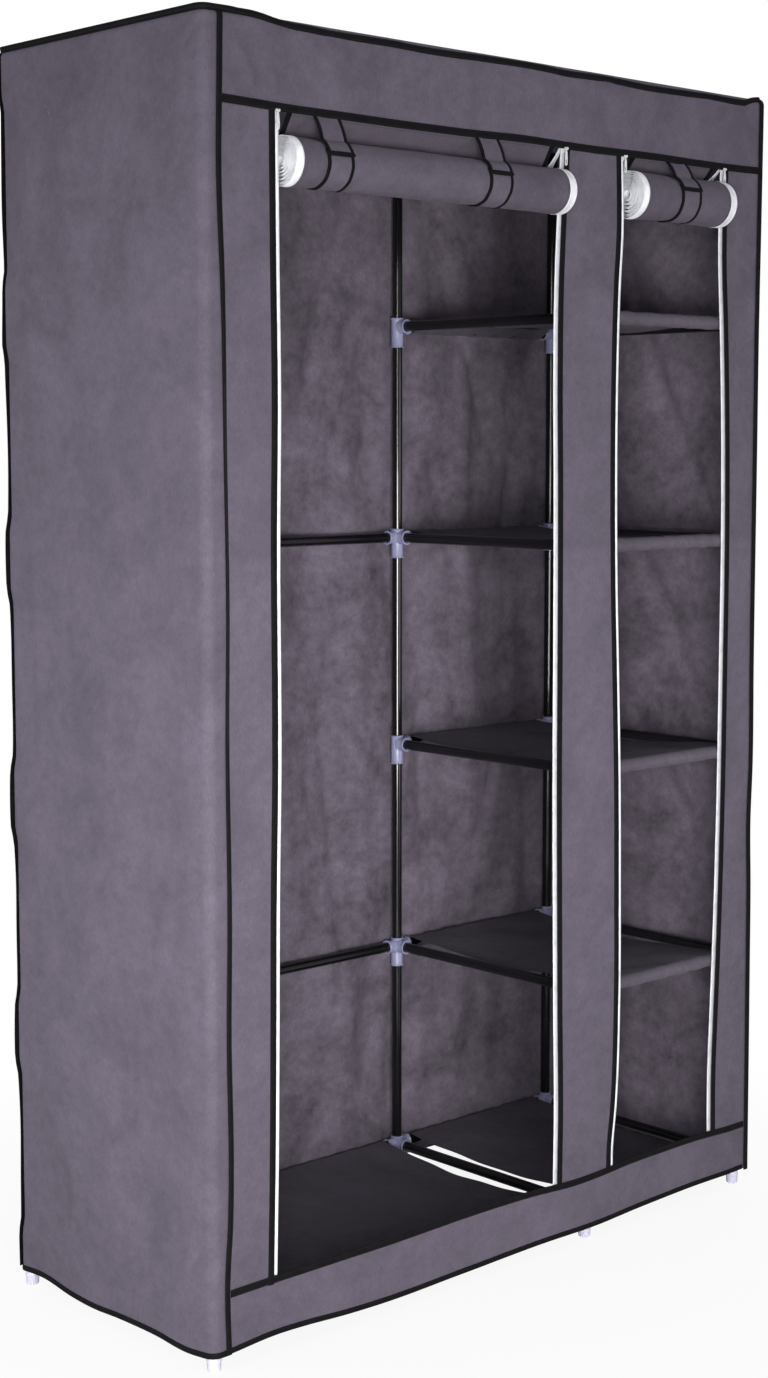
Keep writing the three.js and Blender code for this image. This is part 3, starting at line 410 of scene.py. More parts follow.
def upright_part(post, low, high, capped_top, is_foot):
    """The sleeve round the post, with a mouth at each open end."""
    top = [(sleeve_radius, high - 0.0042), (sleeve_radius - 0.0007, high - 0.0026),
           (sleeve_radius - 0.0022, high - 0.0011), (sleeve_radius - 0.0048, high), (0.0001, high),
           (0.0001, high - 0.0018), (sleeve_bore, high - 0.0018)]
    if not capped_top:
        top = flared_mouth(high)
    bottom = [(radius, low + high - height) for radius, height in reversed(flared_mouth(high))]
    if is_foot:
        bottom = [(sleeve_bore, low), (sleeve_radius, low)]
    points, faces = turned([*bottom, *top], sleeve_sides)
    return points + np.array([post.x, post.y, 0]), faces


foot_seat = 0.026
for tier, height in enumerate(tier_heights):
    is_bottom, is_top = tier == 0, tier == tier_count - 1
    low = foot_seat if is_bottom else height - socket_drop
    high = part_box(f"tier_frame_{tier}")[1].z if is_top else height + socket_rise
    parts, served = [], {}
    for first, second in tubes_of_tier(tier):
        widest = mouth_under_cover if is_top else mouth_radius
        parts.append(arm_part(post_axes[first], post_axes[second], height, widest))
        parts.append(arm_part(post_axes[second], post_axes[first], height, widest))
        served.update({first: post_axes[first], second: post_axes[second]})
    for post in served.values():
        parts.append(upright_part(post, low, high, is_top, is_bottom))
    connectors = add_piece(f"tier_{tier}_connectors", parts, [connector_finish], sharp_angle=50)
    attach(connectors, "wardrobe")

foot_profile = [
    (0.0001, 0.0), (foot_radius - 0.0022, 0.0), (foot_radius - 0.0006, 0.0008),
    (foot_radius, 0.0024), (foot_radius + 0.0002, 0.012), (foot_radius + 0.0009, 0.0135),
    (foot_radius + 0.0009, 0.0155), (foot_radius + 0.0004, 0.0165),
    (foot_radius + 0.0006, foot_seat), (foot_radius - 0.001, foot_seat),
    (foot_radius - 0.0016, 0.008), (0.0001, 0.006)]
for name, post in post_axes.items():
    points, faces = turned(foot_profile, sleeve_sides)
    foot = add_piece(
        f"foot_{name}", [(points + np.array([post.x, post.y, 0]), faces)], [foot_finish],
        sharp_angle=35)
    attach(foot, "wardrobe")

# The cover's outline: seams, corners and the cloth itself
# The cover is sewn from non-woven polypropylene cloth, grey outside and a little darker inside,
# and hangs from the top tubes. Its inner face is still painted lighter and more clouded than the
# outer one: painted light, for the light that shines through the thin cloth. Its seams wander by
# a few millimetres, as sewing does, and every piece beside a seam follows the same line.
cloth_thickness = 0.0009
side_stand_off = 0.0126
front_stand_off = 0.0145
top_rise = 0.0105
top_turn_height = top_tier + 0.0002
front_cover_y = front_y - front_stand_off
hem_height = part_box("cover_back")[0].z
band_seam_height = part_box("cover_bottom_band")[1].z
header_seam_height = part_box("cover_header")[0].z


def eased(share):
    """A share from 0 to 1 that starts and ends gently."""
    share = np.clip(share, 0, 1)
    return share * share * (3 - 2 * share)


def wander(*places):
    """A smooth offset through pairs of a place and its offset in millimetres."""
    at, offsets = np.array(places, float).T
    offsets = offsets / 1000
    slopes = np.gradient(offsets, at)

    def offset_at(place):
        place = np.clip(np.asarray(place, float), at[0], at[-1])
        span = np.clip(np.searchsorted(at, place) - 1, 0, len(at) - 2)
        width = at[span + 1] - at[span]
        share = (place - at[span]) / width
        rest = 1 - share
        return (
            offsets[span] * (1 + 2 * share) * rest**2 + offsets[span + 1] * share**2
            * (3 - 2 * share) + width * share * rest
            * (slopes[span] * rest - slopes[span + 1] * share))
    return offset_at


front_left_wander = wander(
    (0.02, -8), (0.12, -10), (0.2, -4.5), (0.28, -2.6), (0.44, -4.6), (0.6, -2.2), (0.84, -3.7),
    (1.0, -1.3), (1.2, -3.2), (1.4, -5), (1.56, -10), (1.66, -8), (1.75, -6))
right_corner_wander = wander(
    (0.02, 7), (0.2, 5.3), (0.36, 3.4), (0.5, 1.5), (0.6, -2), (0.7, 1), (0.86, -1), (1.2, -2.5),
    (1.4, -3.6), (1.56, -2.5), (1.75, -1.6))
header_seam_wander = wander(
    (-0.53, -4.7), (-0.45, -6.9), (-0.25, -8.1), (-0.1, -8.1), (0, -6.3), (0.15, -7.4), (0.3, -6.5),
    (0.44, -8), (0.56, -6.4))
band_seam_wander = wander(
    (-0.53, 2.9), (-0.3, 2), (-0.05, 2.6), (0.05, 0.8), (0.14, -3.4), (0.19, -2.5), (0.26, 0.4),
    (0.34, 1.5), (0.44, 1.8), (0.5, 0), (0.56, -1.2))
front_hem_wander = wander(
    (-0.53, 0), (-0.45, 3.4), (-0.4, 1.8), (-0.33, -3), (-0.1, -5.5), (0.08, -3.4), (0.2, -4.2),
    (0.3, -1.6), (0.42, 1.2), (0.56, 1.8))
left_hem_wander = wander(
    (-0.22, 0), (-0.15, -6), (-0.08, -4.2), (0, -4.4), (0.05, -6.6), (0.11, -5), (0.18, 2),
    (0.24, -2))
right_hem_wander = wander((-0.22, 1.8), (-0.1, -2), (0.05, -5), (0.16, -1), (0.24, -2))
back_hem_wander = wander((-0.56, -2), (-0.3, -4), (-0.05, 1), (0.25, -5), (0.45, -1), (0.57, -2))
doorway_wander = {
    "left_left": wander(
        (0.1, -9), (0.28, -5), (0.45, -3.2), (0.62, -2), (0.78, 1), (1.1, 0.8), (1.27, 3.6),
        (1.45, 2.4), (1.64, 2)),
    "left_right": wander(
        (0.1, 0), (0.125, 0.3), (0.2, 1.2), (0.37, -1.6), (0.53, -3.8), (0.7, -5.8), (0.94, -6.4),
        (1.16, -8.5), (1.3, -11.5), (1.44, -11.5), (1.52, -8.5), (1.6, -4), (1.64, -2)),
    "right_left": wander(
        (0.08, 0), (0.1, 0), (0.13, 0), (0.2, 7.5), (0.37, 12.5), (0.53, 10.4), (0.7, 7.2),
        (0.86, 1.5), (1.0, -4), (1.15, -7), (1.3, -7), (1.45, -3), (1.52, 1.5), (1.64, -1)),
    "right_right": wander(
        (0.1, 6), (0.2, 5), (0.3, 8.5), (0.45, 14), (0.62, 17.5), (0.85, 18.5), (1.1, 17.5),
        (1.27, 12), (1.4, 4.5), (1.5, -2.5), (1.58, -3), (1.64, -2)),
}
cad_doorways = {
    "left_left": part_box("cover_left_stile")[1].x, "left_right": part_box("cover_centre_stile")[0].x,
    "right_left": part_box("cover_centre_stile")[1].x,
    "right_right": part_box("cover_right_stile")[0].x,
}


def doorway_edge(place, z):
    return cad_doorways[place] + doorway_wander[place](z)


def front_left_seam(z):
    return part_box("cover_left_stile")[0].x + front_left_wander(z)


def right_corner(z):
    return right_x + side_stand_off - 0.001 + right_corner_wander(z)


def header_seam(x):
    return header_seam_height + header_seam_wander(x)


def band_seam(x):
    return band_seam_height + band_seam_wander(x)


def front_hem(x):
    return hem_height + front_hem_wander(x)


def unevenness(seed, longest, shortest, slope, height):
    """Soft waves over two places along the cloth; a slope near zero lets them run up and down."""
    dice = np.random.default_rng(seed)
    waves = []
    for _ in range(7):
        length = longest * (shortest / longest) ** dice.uniform(0, 1)
        lean, phase = dice.uniform(-slope, slope), dice.uniform(0, 2 * math.pi)
        waves.append((2 * math.pi / length, lean, phase, length / longest))

    def height_at(across, up):
        total = 0
        for wave, lean, phase, weight in waves:
            total = total + weight * np.sin(wave * (across + lean * up) + phase)
        return height * total / math.sqrt(sum(weight**2 for *_, weight in waves))
    return height_at


def crease(across, up, start, end, width, height):
    """A fold along a line that swells in its middle and dies out at both ends."""
    run, climb = end[0] - start[0], end[1] - start[1]
    length = math.hypot(run, climb)
    share = ((across - start[0]) * run + (up - start[1]) * climb) / length**2
    aside = ((across - start[0]) * climb - (up - start[1]) * run) / length
    swell = np.sin(math.pi * np.clip(share, 0, 1)) ** 0.8
    return height * swell * np.exp(-(aside / width) ** 2)


front_waves = unevenness(11, 0.42, 0.12, 0.25, 0.0012)
header_waves = unevenness(12, 0.16, 0.04, 0.3, 0.0016)
header_creases = (
    ((-0.528, 1.742), (-0.470, 1.652), 0.007, 0.0030),
    ((-0.50, 1.735), (-0.45, 1.66), 0.012, -0.0016), ((-0.33, 1.73), (-0.34, 1.65), 0.006, 0.0012),
    ((-0.16, 1.735), (-0.155, 1.648), 0.005, 0.0012),
    ((-0.02, 1.728), (-0.03, 1.65), 0.007, -0.0011),
    ((0.107, 1.735), (0.113, 1.652), 0.005, 0.0015), ((0.24, 1.73), (0.245, 1.655), 0.008, 0.0011),
    ((0.36, 1.725), (0.35, 1.65), 0.005, -0.0009), ((0.50, 1.73), (0.485, 1.65), 0.008, 0.0012),
    ((0.545, 1.74), (0.50, 1.69), 0.007, 0.0016))


def front_bulge(x, z):
    """How far the cloth of the front stands forward of its flat plane."""
    inner = eased((x - left_x) / 0.04) * eased((right_x - x) / 0.04)
    bulge = inner * front_waves(x, z)
    on_header = eased((z - header_seam_height - 0.004) / 0.02) * eased((top_turn_height - z) / 0.02)
    bulge = bulge + on_header * inner * header_waves(x, z)
    for start, end, width, height in header_creases:
        bulge = bulge + on_header * crease(x, z, start, end, width, height)
    return bulge


def front_place(x, z):
    """The middle of the front's cloth, as an array of places."""
    x, z = np.broadcast_arrays(np.asarray(x, float), np.asarray(z, float))
    return np.stack([x, front_cover_y - front_bulge(x, z), z], axis=-1)


def arc_lengths(grid, axis):
    """How far along its rows or columns each place of a grid lies."""
    steps = np.linalg.norm(np.diff(grid, axis=axis), axis=2)
    first = np.zeros_like(np.take(grid[..., 0], [0], axis=axis))
    return np.concatenate([first, np.cumsum(steps, axis=axis)], axis=axis)


def grid_faces(rows, columns, first=0, closed=False):
    """The four-sided faces of a grid, joined round its columns when it is closed."""
    across = columns if closed else columns - 1
    row, column = np.meshgrid(np.arange(rows - 1), np.arange(across), indexing="ij")
    here, beside = row * columns + column, row * columns + (column + 1) % columns
    return first + np.stack(
        [here, beside, beside + columns, here + columns], axis=-1).reshape(-1, 4)


def grid_normals(grid):
    along, up = np.gradient(grid, axis=1), np.gradient(grid, axis=0)
    normals = np.cross(along, up)
    return normals / np.maximum(np.linalg.norm(normals, axis=2, keepdims=True), 1e-9)


def rim_of(grid):
    """What lies round the edge of a grid, in order."""
    return np.concatenate([grid[0, :], grid[1:, -1], grid[-1, -2::-1], grid[-2:0:-1, 0]])


def cloth_part(grid, thickness=cloth_thickness, towards=None):
    """A closed sheet over a grid of middles: points, faces, finish of each face, flat places.

    The side that looks along the cross product of columns and rows, or towards a direction,
    is the outer one and takes the first finish; the other side and the rim take the second."""
    rows, columns = grid.shape[:2]
    normals = grid_normals(grid)
    if towards is not None and (normals @ np.array(towards)).mean() < 0:
        normals = -normals
    points = np.concatenate([(grid + normals * thickness / 2).reshape(-1, 3),
                             (grid - normals * thickness / 2).reshape(-1, 3)])
    count = rows * columns
    outer = grid_faces(rows, columns)
    inner = grid_faces(rows, columns, count)[:, ::-1]
    rim = rim_of(np.arange(count).reshape(rows, columns))
    next_one = np.roll(rim, -1)
    edge = np.stack([next_one, rim, rim + count, next_one + count], axis=-1)
    across, up = arc_lengths(grid, 1), arc_lengths(grid, 0)
    inset = np.minimum(np.minimum(across, across[:, -1:] - across), np.minimum(up, up[-1:] - up))
    flat = np.stack([across, up, inset], axis=-1).reshape(-1, 3)
    faces = np.concatenate([outer, inner, edge])
    finishes = np.concatenate([np.zeros(len(outer)), np.ones(len(inner)), np.zeros(len(edge))])
    return points, faces, finishes, np.concatenate([flat, flat])


def add_cloth(name, parts, finishes, sharp_angle=60):
    return add_piece(name, [(points, faces) for points, faces, *_ in parts], finishes, sharp_angle,
                     np.concatenate([marks for *_, marks, _ in parts]),
                     np.concatenate([flat for *_, flat in parts]))


# The cloth's finishes
# The cloth is pressed from loose fibres: cloudy, streaked, and stamped with rows of small dots.
# A row of thread is sewn beside its bound edges.
pressed_cloth, taken, given = add_effect(
    "pressed_cloth", {"Cloud Contrast": 0.5, "Dot Pitch": 0.0014, "Seed": 0.0},
    ("Clouds", "Fibres", "Height"))


def mix_values(tree, share, first, second):
    return set_node(
        tree, "ShaderNodeMix", {0: share, 2: first, 3: second}, data_type="FLOAT").outputs[0]


def scaled_colour(tree, colour, scale):
    return set_node(
        tree, "ShaderNodeVectorMath", {0: colour, "Scale": scale}, operation="SCALE").outputs[0]


def flat_place_in(tree):
    """A sheet's flat place: whole, across, up, and how far in from the edge."""
    flat = set_node(tree, "ShaderNodeAttribute", attribute_name="flat_place").outputs["Vector"]
    places = set_node(tree, "ShaderNodeSeparateXYZ", {0: flat}).outputs
    return flat, places["X"], places["Y"], places["Z"]


_, across, up, _ = flat_place_in(pressed_cloth)
on_cloth = set_node(
    pressed_cloth, "ShaderNodeCombineXYZ", {"X": across, "Y": up, "Z": taken["Seed"]}).outputs[0]
broad = noise(pressed_cloth, on_cloth, 9.0, 5.0, 0.6, 0.6)
middling = noise(pressed_cloth, on_cloth, 48.0, 6.0, 0.68)
stretched = set_node(
    pressed_cloth, "ShaderNodeMapping", {"Vector": on_cloth, "Scale": (900.0, 170.0, 1.0)})
fibres = noise(pressed_cloth, stretched.outputs[0], 1.0, 4.0, 0.7, 1.2)
clouds = ranged(
    pressed_cloth, mix_values(pressed_cloth, 0.45, broad, middling), 0.3, 0.7, -0.5, 0.5)
per_dot = maths(pressed_cloth, "DIVIDE", 1.0, taken["Dot Pitch"])
dots = set_node(
    pressed_cloth, "ShaderNodeTexVoronoi",
    {"Vector": on_cloth, "Scale": per_dot, "Randomness": 0.25})
pressed = ranged(
    pressed_cloth, dots.outputs["Distance"], 0.18, 0.45, interpolation_type="SMOOTHSTEP")
fill(pressed_cloth, given, {
    "Clouds": maths(pressed_cloth, "MULTIPLY", clouds, taken["Cloud Contrast"]), "Fibres": fibres,
    "Height": mix_values(pressed_cloth, 0.35, pressed, fibres)})

stitch_rows, taken, given = add_effect(
    "stitch_rows", {"Inset": 0.004, "Stitch Length": 0.0036, "Thread Width": 0.0008}, ("Thread",))
stitch_share = 0.74
_, across, up, inset = flat_place_in(stitch_rows)
aside = maths(stitch_rows, "ABSOLUTE", maths(stitch_rows, "SUBTRACT", inset, taken["Inset"]))
on_row = maths(stitch_rows, "LESS_THAN", aside, taken["Thread Width"])
per_stitch = maths(
    stitch_rows, "DIVIDE", maths(stitch_rows, "ADD", across, up), taken["Stitch Length"])
on_stitch = maths(stitch_rows, "LESS_THAN", maths(stitch_rows, "FRACT", per_stitch), stitch_share)
fill(stitch_rows, given, {"Thread": maths(stitch_rows, "MULTIPLY", on_row, on_stitch)})


def cloth_finish(name, colour, cloud_contrast, seed=0.0, stitch_inset=0.004):
    finish, tree, shader = new_finish(
        name, Roughness=0.85, Sheen_Weight=0.04, Sheen_Roughness=0.45, Specular_IOR_Level=0.16)
    weave = set_node(tree, "ShaderNodeGroup", {
        "Cloud Contrast": cloud_contrast, "Seed": seed}, node_tree=pressed_cloth).outputs
    light = (*(min(1, 1.75 * channel) for channel in colour), 1)
    share = maths(tree, "ADD", weave["Clouds"], 0.5, use_clamp=True)
    clouded = mix_colours(tree, share, opaque(colour, 0.42), light)
    toned = scaled_colour(tree, clouded, ranged(tree, weave["Fibres"], 0.3, 0.7, 0.78, 1.22))
    thread = set_node(tree, "ShaderNodeGroup", {
        "Inset": stitch_inset, "Thread Width": 0.0004}, node_tree=stitch_rows).outputs["Thread"]
    fill(tree, shader, {
        "Base Color": mix_colours(tree, thread, toned, opaque(colour, 0.5)),
        "Normal": bumped(tree, maths(tree, "ADD", thread, weave["Height"]), 0.5, 0.00025)})
    return finish


outer_cloth = cloth_finish("grey_outer_cloth", (0.0945, 0.0805, 0.1065), 0.42, stitch_inset=-1)
# Painted light: the inner face is lighter than the outer and strongly clouded, for light shining
# through the cloth.
inner_cloth = cloth_finish(
    "inner_cloth_painted_light", (0.109, 0.092, 0.119), 1.0, seed=3.0, stitch_inset=-1)
cover_finishes = [outer_cloth, inner_cloth]

# The cover's top panel
# It lies on the top tubes and sags a little between them. Its edges turn down over the tubes,
# at the front as far as a loose flap that hangs below the tube, to the bound top seam.
top_seam_out = 0.72
front_seam_out = 0.998
front_seam_corner = 0.034
corner_play = 0.003
flap_length = 0.095
hanging_bay_sag = 0.013
shelf_bay_sag = 0.007
top_flap_wander = wander(
    (-0.54, 0), (-0.45, 1.5), (-0.4, 1.2), (-0.34, -0.6), (-0.25, 0), (-0.15, -1.2), (-0.05, 0.9),
    (0.05, 1), (0.1, -0.8), (0.19, 0.6), (0.26, -2), (0.36, -1.2), (0.42, -0.2), (0.48, -1.2),
    (0.54, 0))


def front_out(x):
    """How far forward the front top seam lies, as a share of the front's stand-off."""
    reach = eased((x - left_x - front_seam_corner) / flap_length) * eased(
        (right_x - corner_play - x) / front_seam_corner)
    return top_seam_out + (front_seam_out - top_seam_out) * reach


def over_corner(out_x, out_y, sign_x, sign_y, x, y):
    """A place on the rounded rim of the cover, from its shares outwards in x and y."""
    longest = np.maximum(out_x, out_y)
    away = np.maximum(np.hypot(out_x, out_y), 1e-6)
    squeeze = longest / away
    out_x, out_y = out_x * squeeze, out_y * squeeze
    reach_y = np.where(sign_y < 0, front_stand_off, side_stand_off)
    z = top_turn_height + top_rise * np.sqrt(np.clip(1 - np.hypot(out_x, out_y) ** 2, 0, 1))
    return np.stack([x + sign_x * out_x * side_stand_off, y + sign_y * out_y * reach_y, z], axis=-1)


turn_steps = 9
turn_shares = np.sin(np.linspace(0, math.pi / 2, turn_steps))


def line_with_turns(start, end, steps, first_out, last_out):
    """Places along a side with shares outwards beyond both of its ends."""
    flat_places = np.linspace(start, end, steps)
    places = np.concatenate(
        [np.full(turn_steps - 1, start), flat_places, np.full(turn_steps - 1, end)])
    outs = np.concatenate(
        [first_out * turn_shares[:0:-1], np.zeros(steps), last_out * turn_shares[1:]])
    signs = np.concatenate([-np.ones(turn_steps - 1), np.zeros(steps), np.ones(turn_steps - 1)])
    return places, outs, signs


top_columns, column_outs, column_signs = line_with_turns(
    left_x, right_x, 120, top_seam_out, top_seam_out)
top_rows, row_outs, row_signs = line_with_turns(front_y, back_y, 46, 1.0, top_seam_out)
x, y = np.meshgrid(top_columns, top_rows)
out_x, out_y = np.meshgrid(column_outs, row_outs)
sign_x, sign_y = np.meshgrid(column_signs, row_signs)
out_y = np.where(sign_y < 0, out_y * front_out(x), out_y)
grid = over_corner(out_x, out_y, sign_x, sign_y, x, y)
bay_share = np.where(
    x < middle_x, (x - left_x) / (middle_x - left_x), (x - middle_x) / (right_x - middle_x))
depth_share = (y - front_y) / (back_y - front_y)
bay_sag = np.where(x < middle_x, hanging_bay_sag, shelf_bay_sag)
grid[..., 2] -= bay_sag * np.sin(math.pi * bay_share) ** 0.8 * np.sin(math.pi * depth_share) ** 0.8
top_waves = unevenness(21, 0.3, 0.07, 0.8, 0.0016)
free = np.sin(math.pi * np.clip(bay_share, 0, 1)) * np.sin(math.pi * np.clip(depth_share, 0, 1))
grid[..., 2] += np.clip(free * 1.6, 0, 1) * top_waves(x, y)
grid[..., 2] += top_flap_wander(x) * np.where(sign_y < 0, row_outs[:, None] ** 2, 0)
top_middle = grid
top_panel = add_cloth(
    "cover_top_cloth", [cloth_part(top_middle, towards=(0, 0, 1))], cover_finishes)
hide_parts("cover_top")
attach(top_panel, "wardrobe")

# The cover's left side
# One wide panel from the rear left post round the rounded front corner to the front left seam,
# sewn to the top panel. It hangs free of the frame, and a few soft folds run down it.
rear_hug = 0.0092
connector_swell = 0.0034
socket_middle_drop, swell_half_height, swell_easing = 0.010, 0.066, 0.030
rear_seam_angle = math.radians(48)
beside_post = 0.004
easing_to_rear = 0.16
rear_fade, front_fade = 0.07, 0.06
corner_fade_start, corner_fade = 0.012, 0.05
held_at_hem = 0.35


def rear_reach(z):
    """How far the cloth stands off a rear post's axis: it swells round each connector."""
    swell = 0
    for height in tier_heights:
        from_socket = np.abs(z - height + socket_middle_drop)
        swell = np.maximum(swell, eased((swell_half_height - from_socket) / swell_easing))
    return rear_hug + connector_swell * swell


left_waves = unevenness(31, 0.34, 0.09, 0.25, 0.0026)
left_creases = (
    ((0.207, 1.743), (0.06, 1.60), 0.006, 0.0034), ((-0.011, 1.74), (-0.004, 1.45), 0.004, 0.0013),
    ((-0.18, 1.56), (-0.225, 1.60), 0.010, 0.0022), ((-0.16, 1.385), (-0.215, 1.43), 0.009, 0.0022),
    ((-0.05, 1.36), (-0.20, 1.46), 0.012, 0.0016), ((0.18, 1.2), (0.16, 0.7), 0.014, 0.0022),
    ((-0.10, 0.95), (-0.19, 1.05), 0.010, 0.0020), ((0.02, 0.62), (-0.17, 0.50), 0.013, 0.0018),
    ((0.19, 0.33), (0.05, 0.14), 0.011, 0.0026), ((-0.12, 0.08), (-0.20, 0.22), 0.010, 0.0024),
    ((0.21, 1.50), (0.12, 1.38), 0.008, 0.0020), ((0.10, 0.045), (0.09, 0.30), 0.010, 0.0018),
    ((-0.19, 1.72), (-0.13, 1.50), 0.008, 0.0020), ((0.10, 1.74), (0.09, 1.55), 0.007, 0.0014),
    ((-0.15, 0.75), (-0.06, 0.35), 0.015, 0.0018), ((0.13, 1.05), (0.02, 0.85), 0.013, 0.0016))


side_rows = np.concatenate([np.linspace(0, 1, 190)[:-1], 1 + np.linspace(0, 1, 8)])


def upright_z(rows, hem):
    """Heights of the rows up an upright panel, and how far they turn in over the top tube."""
    z = hem + np.minimum(rows, 1)[:, None] * (top_turn_height - hem)
    return z, np.clip(rows - 1, 0, 1)[:, None] * math.acos(top_seam_out)


def free_height(z, hem):
    """How far a hanging panel is free to swell: not at its top seam, and less at its hem."""
    above_hem = held_at_hem + (1 - held_at_hem) * eased((z - hem) / 0.12)
    return eased((top_turn_height - z) / 0.05) * above_hem


def left_side_grid():
    """From the rear left seam forward, round the front corner and on to the front left seam."""
    back_turn = np.linspace(rear_seam_angle, 0, 7)
    y_side = np.linspace(back_y - beside_post, front_y, 52)
    turn = np.linspace(0, math.pi / 2, 9)[1:]
    front = np.linspace(left_x, 0, 6)[1:]
    side_y = np.concatenate([
        back_y + rear_hug * np.sin(back_turn), y_side, front_y - front_stand_off * np.sin(turn),
        np.full(len(front), front_cover_y)])
    hem = hem_height + left_hem_wander(side_y)
    z, over = upright_z(side_rows, hem)
    squeeze = np.cos(over)
    z = z + top_rise * np.sin(over)
    x = np.empty_like(z)
    y = np.empty_like(z)
    first, last = len(back_turn), len(back_turn) + len(y_side)
    hug = rear_reach(z[:, :1])
    x[:, :first] = left_x - hug * np.cos(back_turn) * squeeze
    y[:, :first] = back_y + hug * np.sin(back_turn) * squeeze
    reach = hug + (side_stand_off - hug) * eased((back_y - y_side) / easing_to_rear)
    x[:, first:last] = left_x - reach * squeeze
    y[:, first:last] = y_side
    corner = slice(last, last + len(turn))
    x[:, corner] = left_x - side_stand_off * np.cos(turn) * squeeze
    y[:, corner] = front_y - front_stand_off * np.sin(turn) * squeeze
    seam = front_left_seam(z[:, -1:])
    front_share = (front - left_x) / (0 - left_x)
    x[:, corner.stop:] = left_x + front_share * (seam - left_x)
    y[:, corner.stop:] = (front_y - front_stand_off * squeeze) - front_bulge(
        x[:, corner.stop:], z[:, corner.stop:])
    bulge = 0.0026 + left_waves(side_y, z)
    for start, end, width, height in left_creases:
        bulge = bulge + crease(side_y, z, start, end, width, height)
    fade = (eased((back_y - side_y) / rear_fade)
            * eased((side_y - front_y + corner_fade_start) / corner_fade) * free_height(z, hem))
    fade[:, :first] = 0
    x -= bulge * fade
    return np.stack([x, y, z], axis=-1)


left_side_middle = left_side_grid()
left_side = add_cloth(
    "cover_left_side_cloth", [cloth_part(left_side_middle, towards=(-1, -0.3, 0))], cover_finishes)
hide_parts("cover_left_side")
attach(left_side, "wardrobe")

# The cover's right side and back
# Two more hanging panels, sewn to the top panel and kept off the tubes and sockets they cover.
# The back shows through the doorways, creased from how the cover was folded in its packet.
side_beside_tubes = 0.0106
back_beside_tubes = 0.0126
beside_sockets = 0.0142
clear_fall = 0.02
tube_zone, tube_easing = 0.012, 0.035
socket_zone, socket_easing = 0.034, 0.03
seam_easing = 0.006
right_waves = unevenness(41, 0.34, 0.11, 0.22, 0.0022)
right_creases = (
    ((-0.19, 1.72), (-0.05, 1.55), 0.008, 0.0018), ((0.20, 1.3), (0.17, 0.8), 0.014, 0.0015),
    ((0.12, 1.62), (-0.06, 1.18), 0.016, 0.0060), ((0.14, 1.22), (-0.10, 0.80), 0.017, 0.0072),
    ((0.02, 1.36), (-0.14, 1.05), 0.014, 0.0058), ((0.10, 0.86), (-0.12, 0.52), 0.016, 0.0064),
    ((0.16, 0.48), (-0.04, 0.20), 0.015, 0.0052), ((-0.18, 0.9), (-0.10, 0.55), 0.012, 0.0014),
    ((0.05, 1.1), (0.06, 0.4), 0.006, 0.0010), ((0.19, 0.2), (0.08, 0.06), 0.010, 0.0016))


def least_stand_off(tier_gap, post_gap, beside_tubes):
    """How far cloth stands off the frame's axes at least: beside tubes, and more beside sockets."""
    over_tubes = beside_tubes - clear_fall * eased(
        (np.minimum(tier_gap, post_gap) - tube_zone) / tube_easing)
    over_sockets = beside_sockets - clear_fall * eased(
        (np.maximum(tier_gap, post_gap) - socket_zone) / socket_easing)
    return np.maximum(over_tubes, over_sockets)


def gap_to_tiers(z):
    return np.min(np.abs(z[..., None] - np.array(tier_heights)), axis=-1)


def right_side_grid():
    """From the front right corner back and round to the rear right seam."""
    y = np.linspace(front_cover_y + 0.001, back_y - beside_post, 56)
    back_turn = np.linspace(0, rear_seam_angle, 7)
    side_y = np.concatenate([y, back_y + rear_hug * np.sin(back_turn)])
    hem = hem_height + right_hem_wander(side_y)
    z, over = upright_z(side_rows, hem)
    squeeze = np.cos(over)
    z = z + top_rise * np.sin(over)
    hug = rear_reach(z[:, :1])
    reach = hug + (side_stand_off - hug) * eased((back_y - y) / easing_to_rear)
    corner_shift = (
        right_corner(z) - (right_x + side_stand_off)) * eased((front_y + 0.10 - side_y) / 0.10)
    x = np.empty_like(z)
    x[:, :len(y)] = right_x + reach * squeeze
    x[:, len(y):] = right_x + hug * np.cos(back_turn) * squeeze
    across = np.broadcast_to(side_y, z.shape).copy()
    in_front = side_y < front_y
    across[:, in_front] = front_y + (side_y[in_front] - front_y) * squeeze
    across[:, len(y):] = back_y + hug * np.sin(back_turn) * squeeze
    bulge = 0.0022 + right_waves(side_y, z)
    for start, end, width, height in right_creases:
        bulge = bulge + crease(side_y, z, start, end, width, height)
    fade = (eased((back_y - side_y) / rear_fade) * eased((side_y - front_cover_y) / front_fade)
            * free_height(z, hem))
    fade[:, len(y):] = 0
    x = x + bulge * fade + corner_shift
    post_gap = np.minimum(np.abs(side_y - front_y), np.abs(side_y - back_y))
    least = right_x + least_stand_off(gap_to_tiers(z), post_gap, side_beside_tubes) * squeeze
    from_seam = eased((side_y - front_cover_y) / seam_easing)
    pushed = x + (np.maximum(x, least) - x) * from_seam
    x[:, :len(y)] = pushed[:, :len(y)]
    return np.stack([x, across, z], axis=-1)


right_side_middle = right_side_grid()
right_side = add_cloth(
    "cover_right_side_cloth", [cloth_part(right_side_middle, towards=(1, 0, 0))], cover_finishes)
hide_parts("cover_right_side")
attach(right_side, "wardrobe")

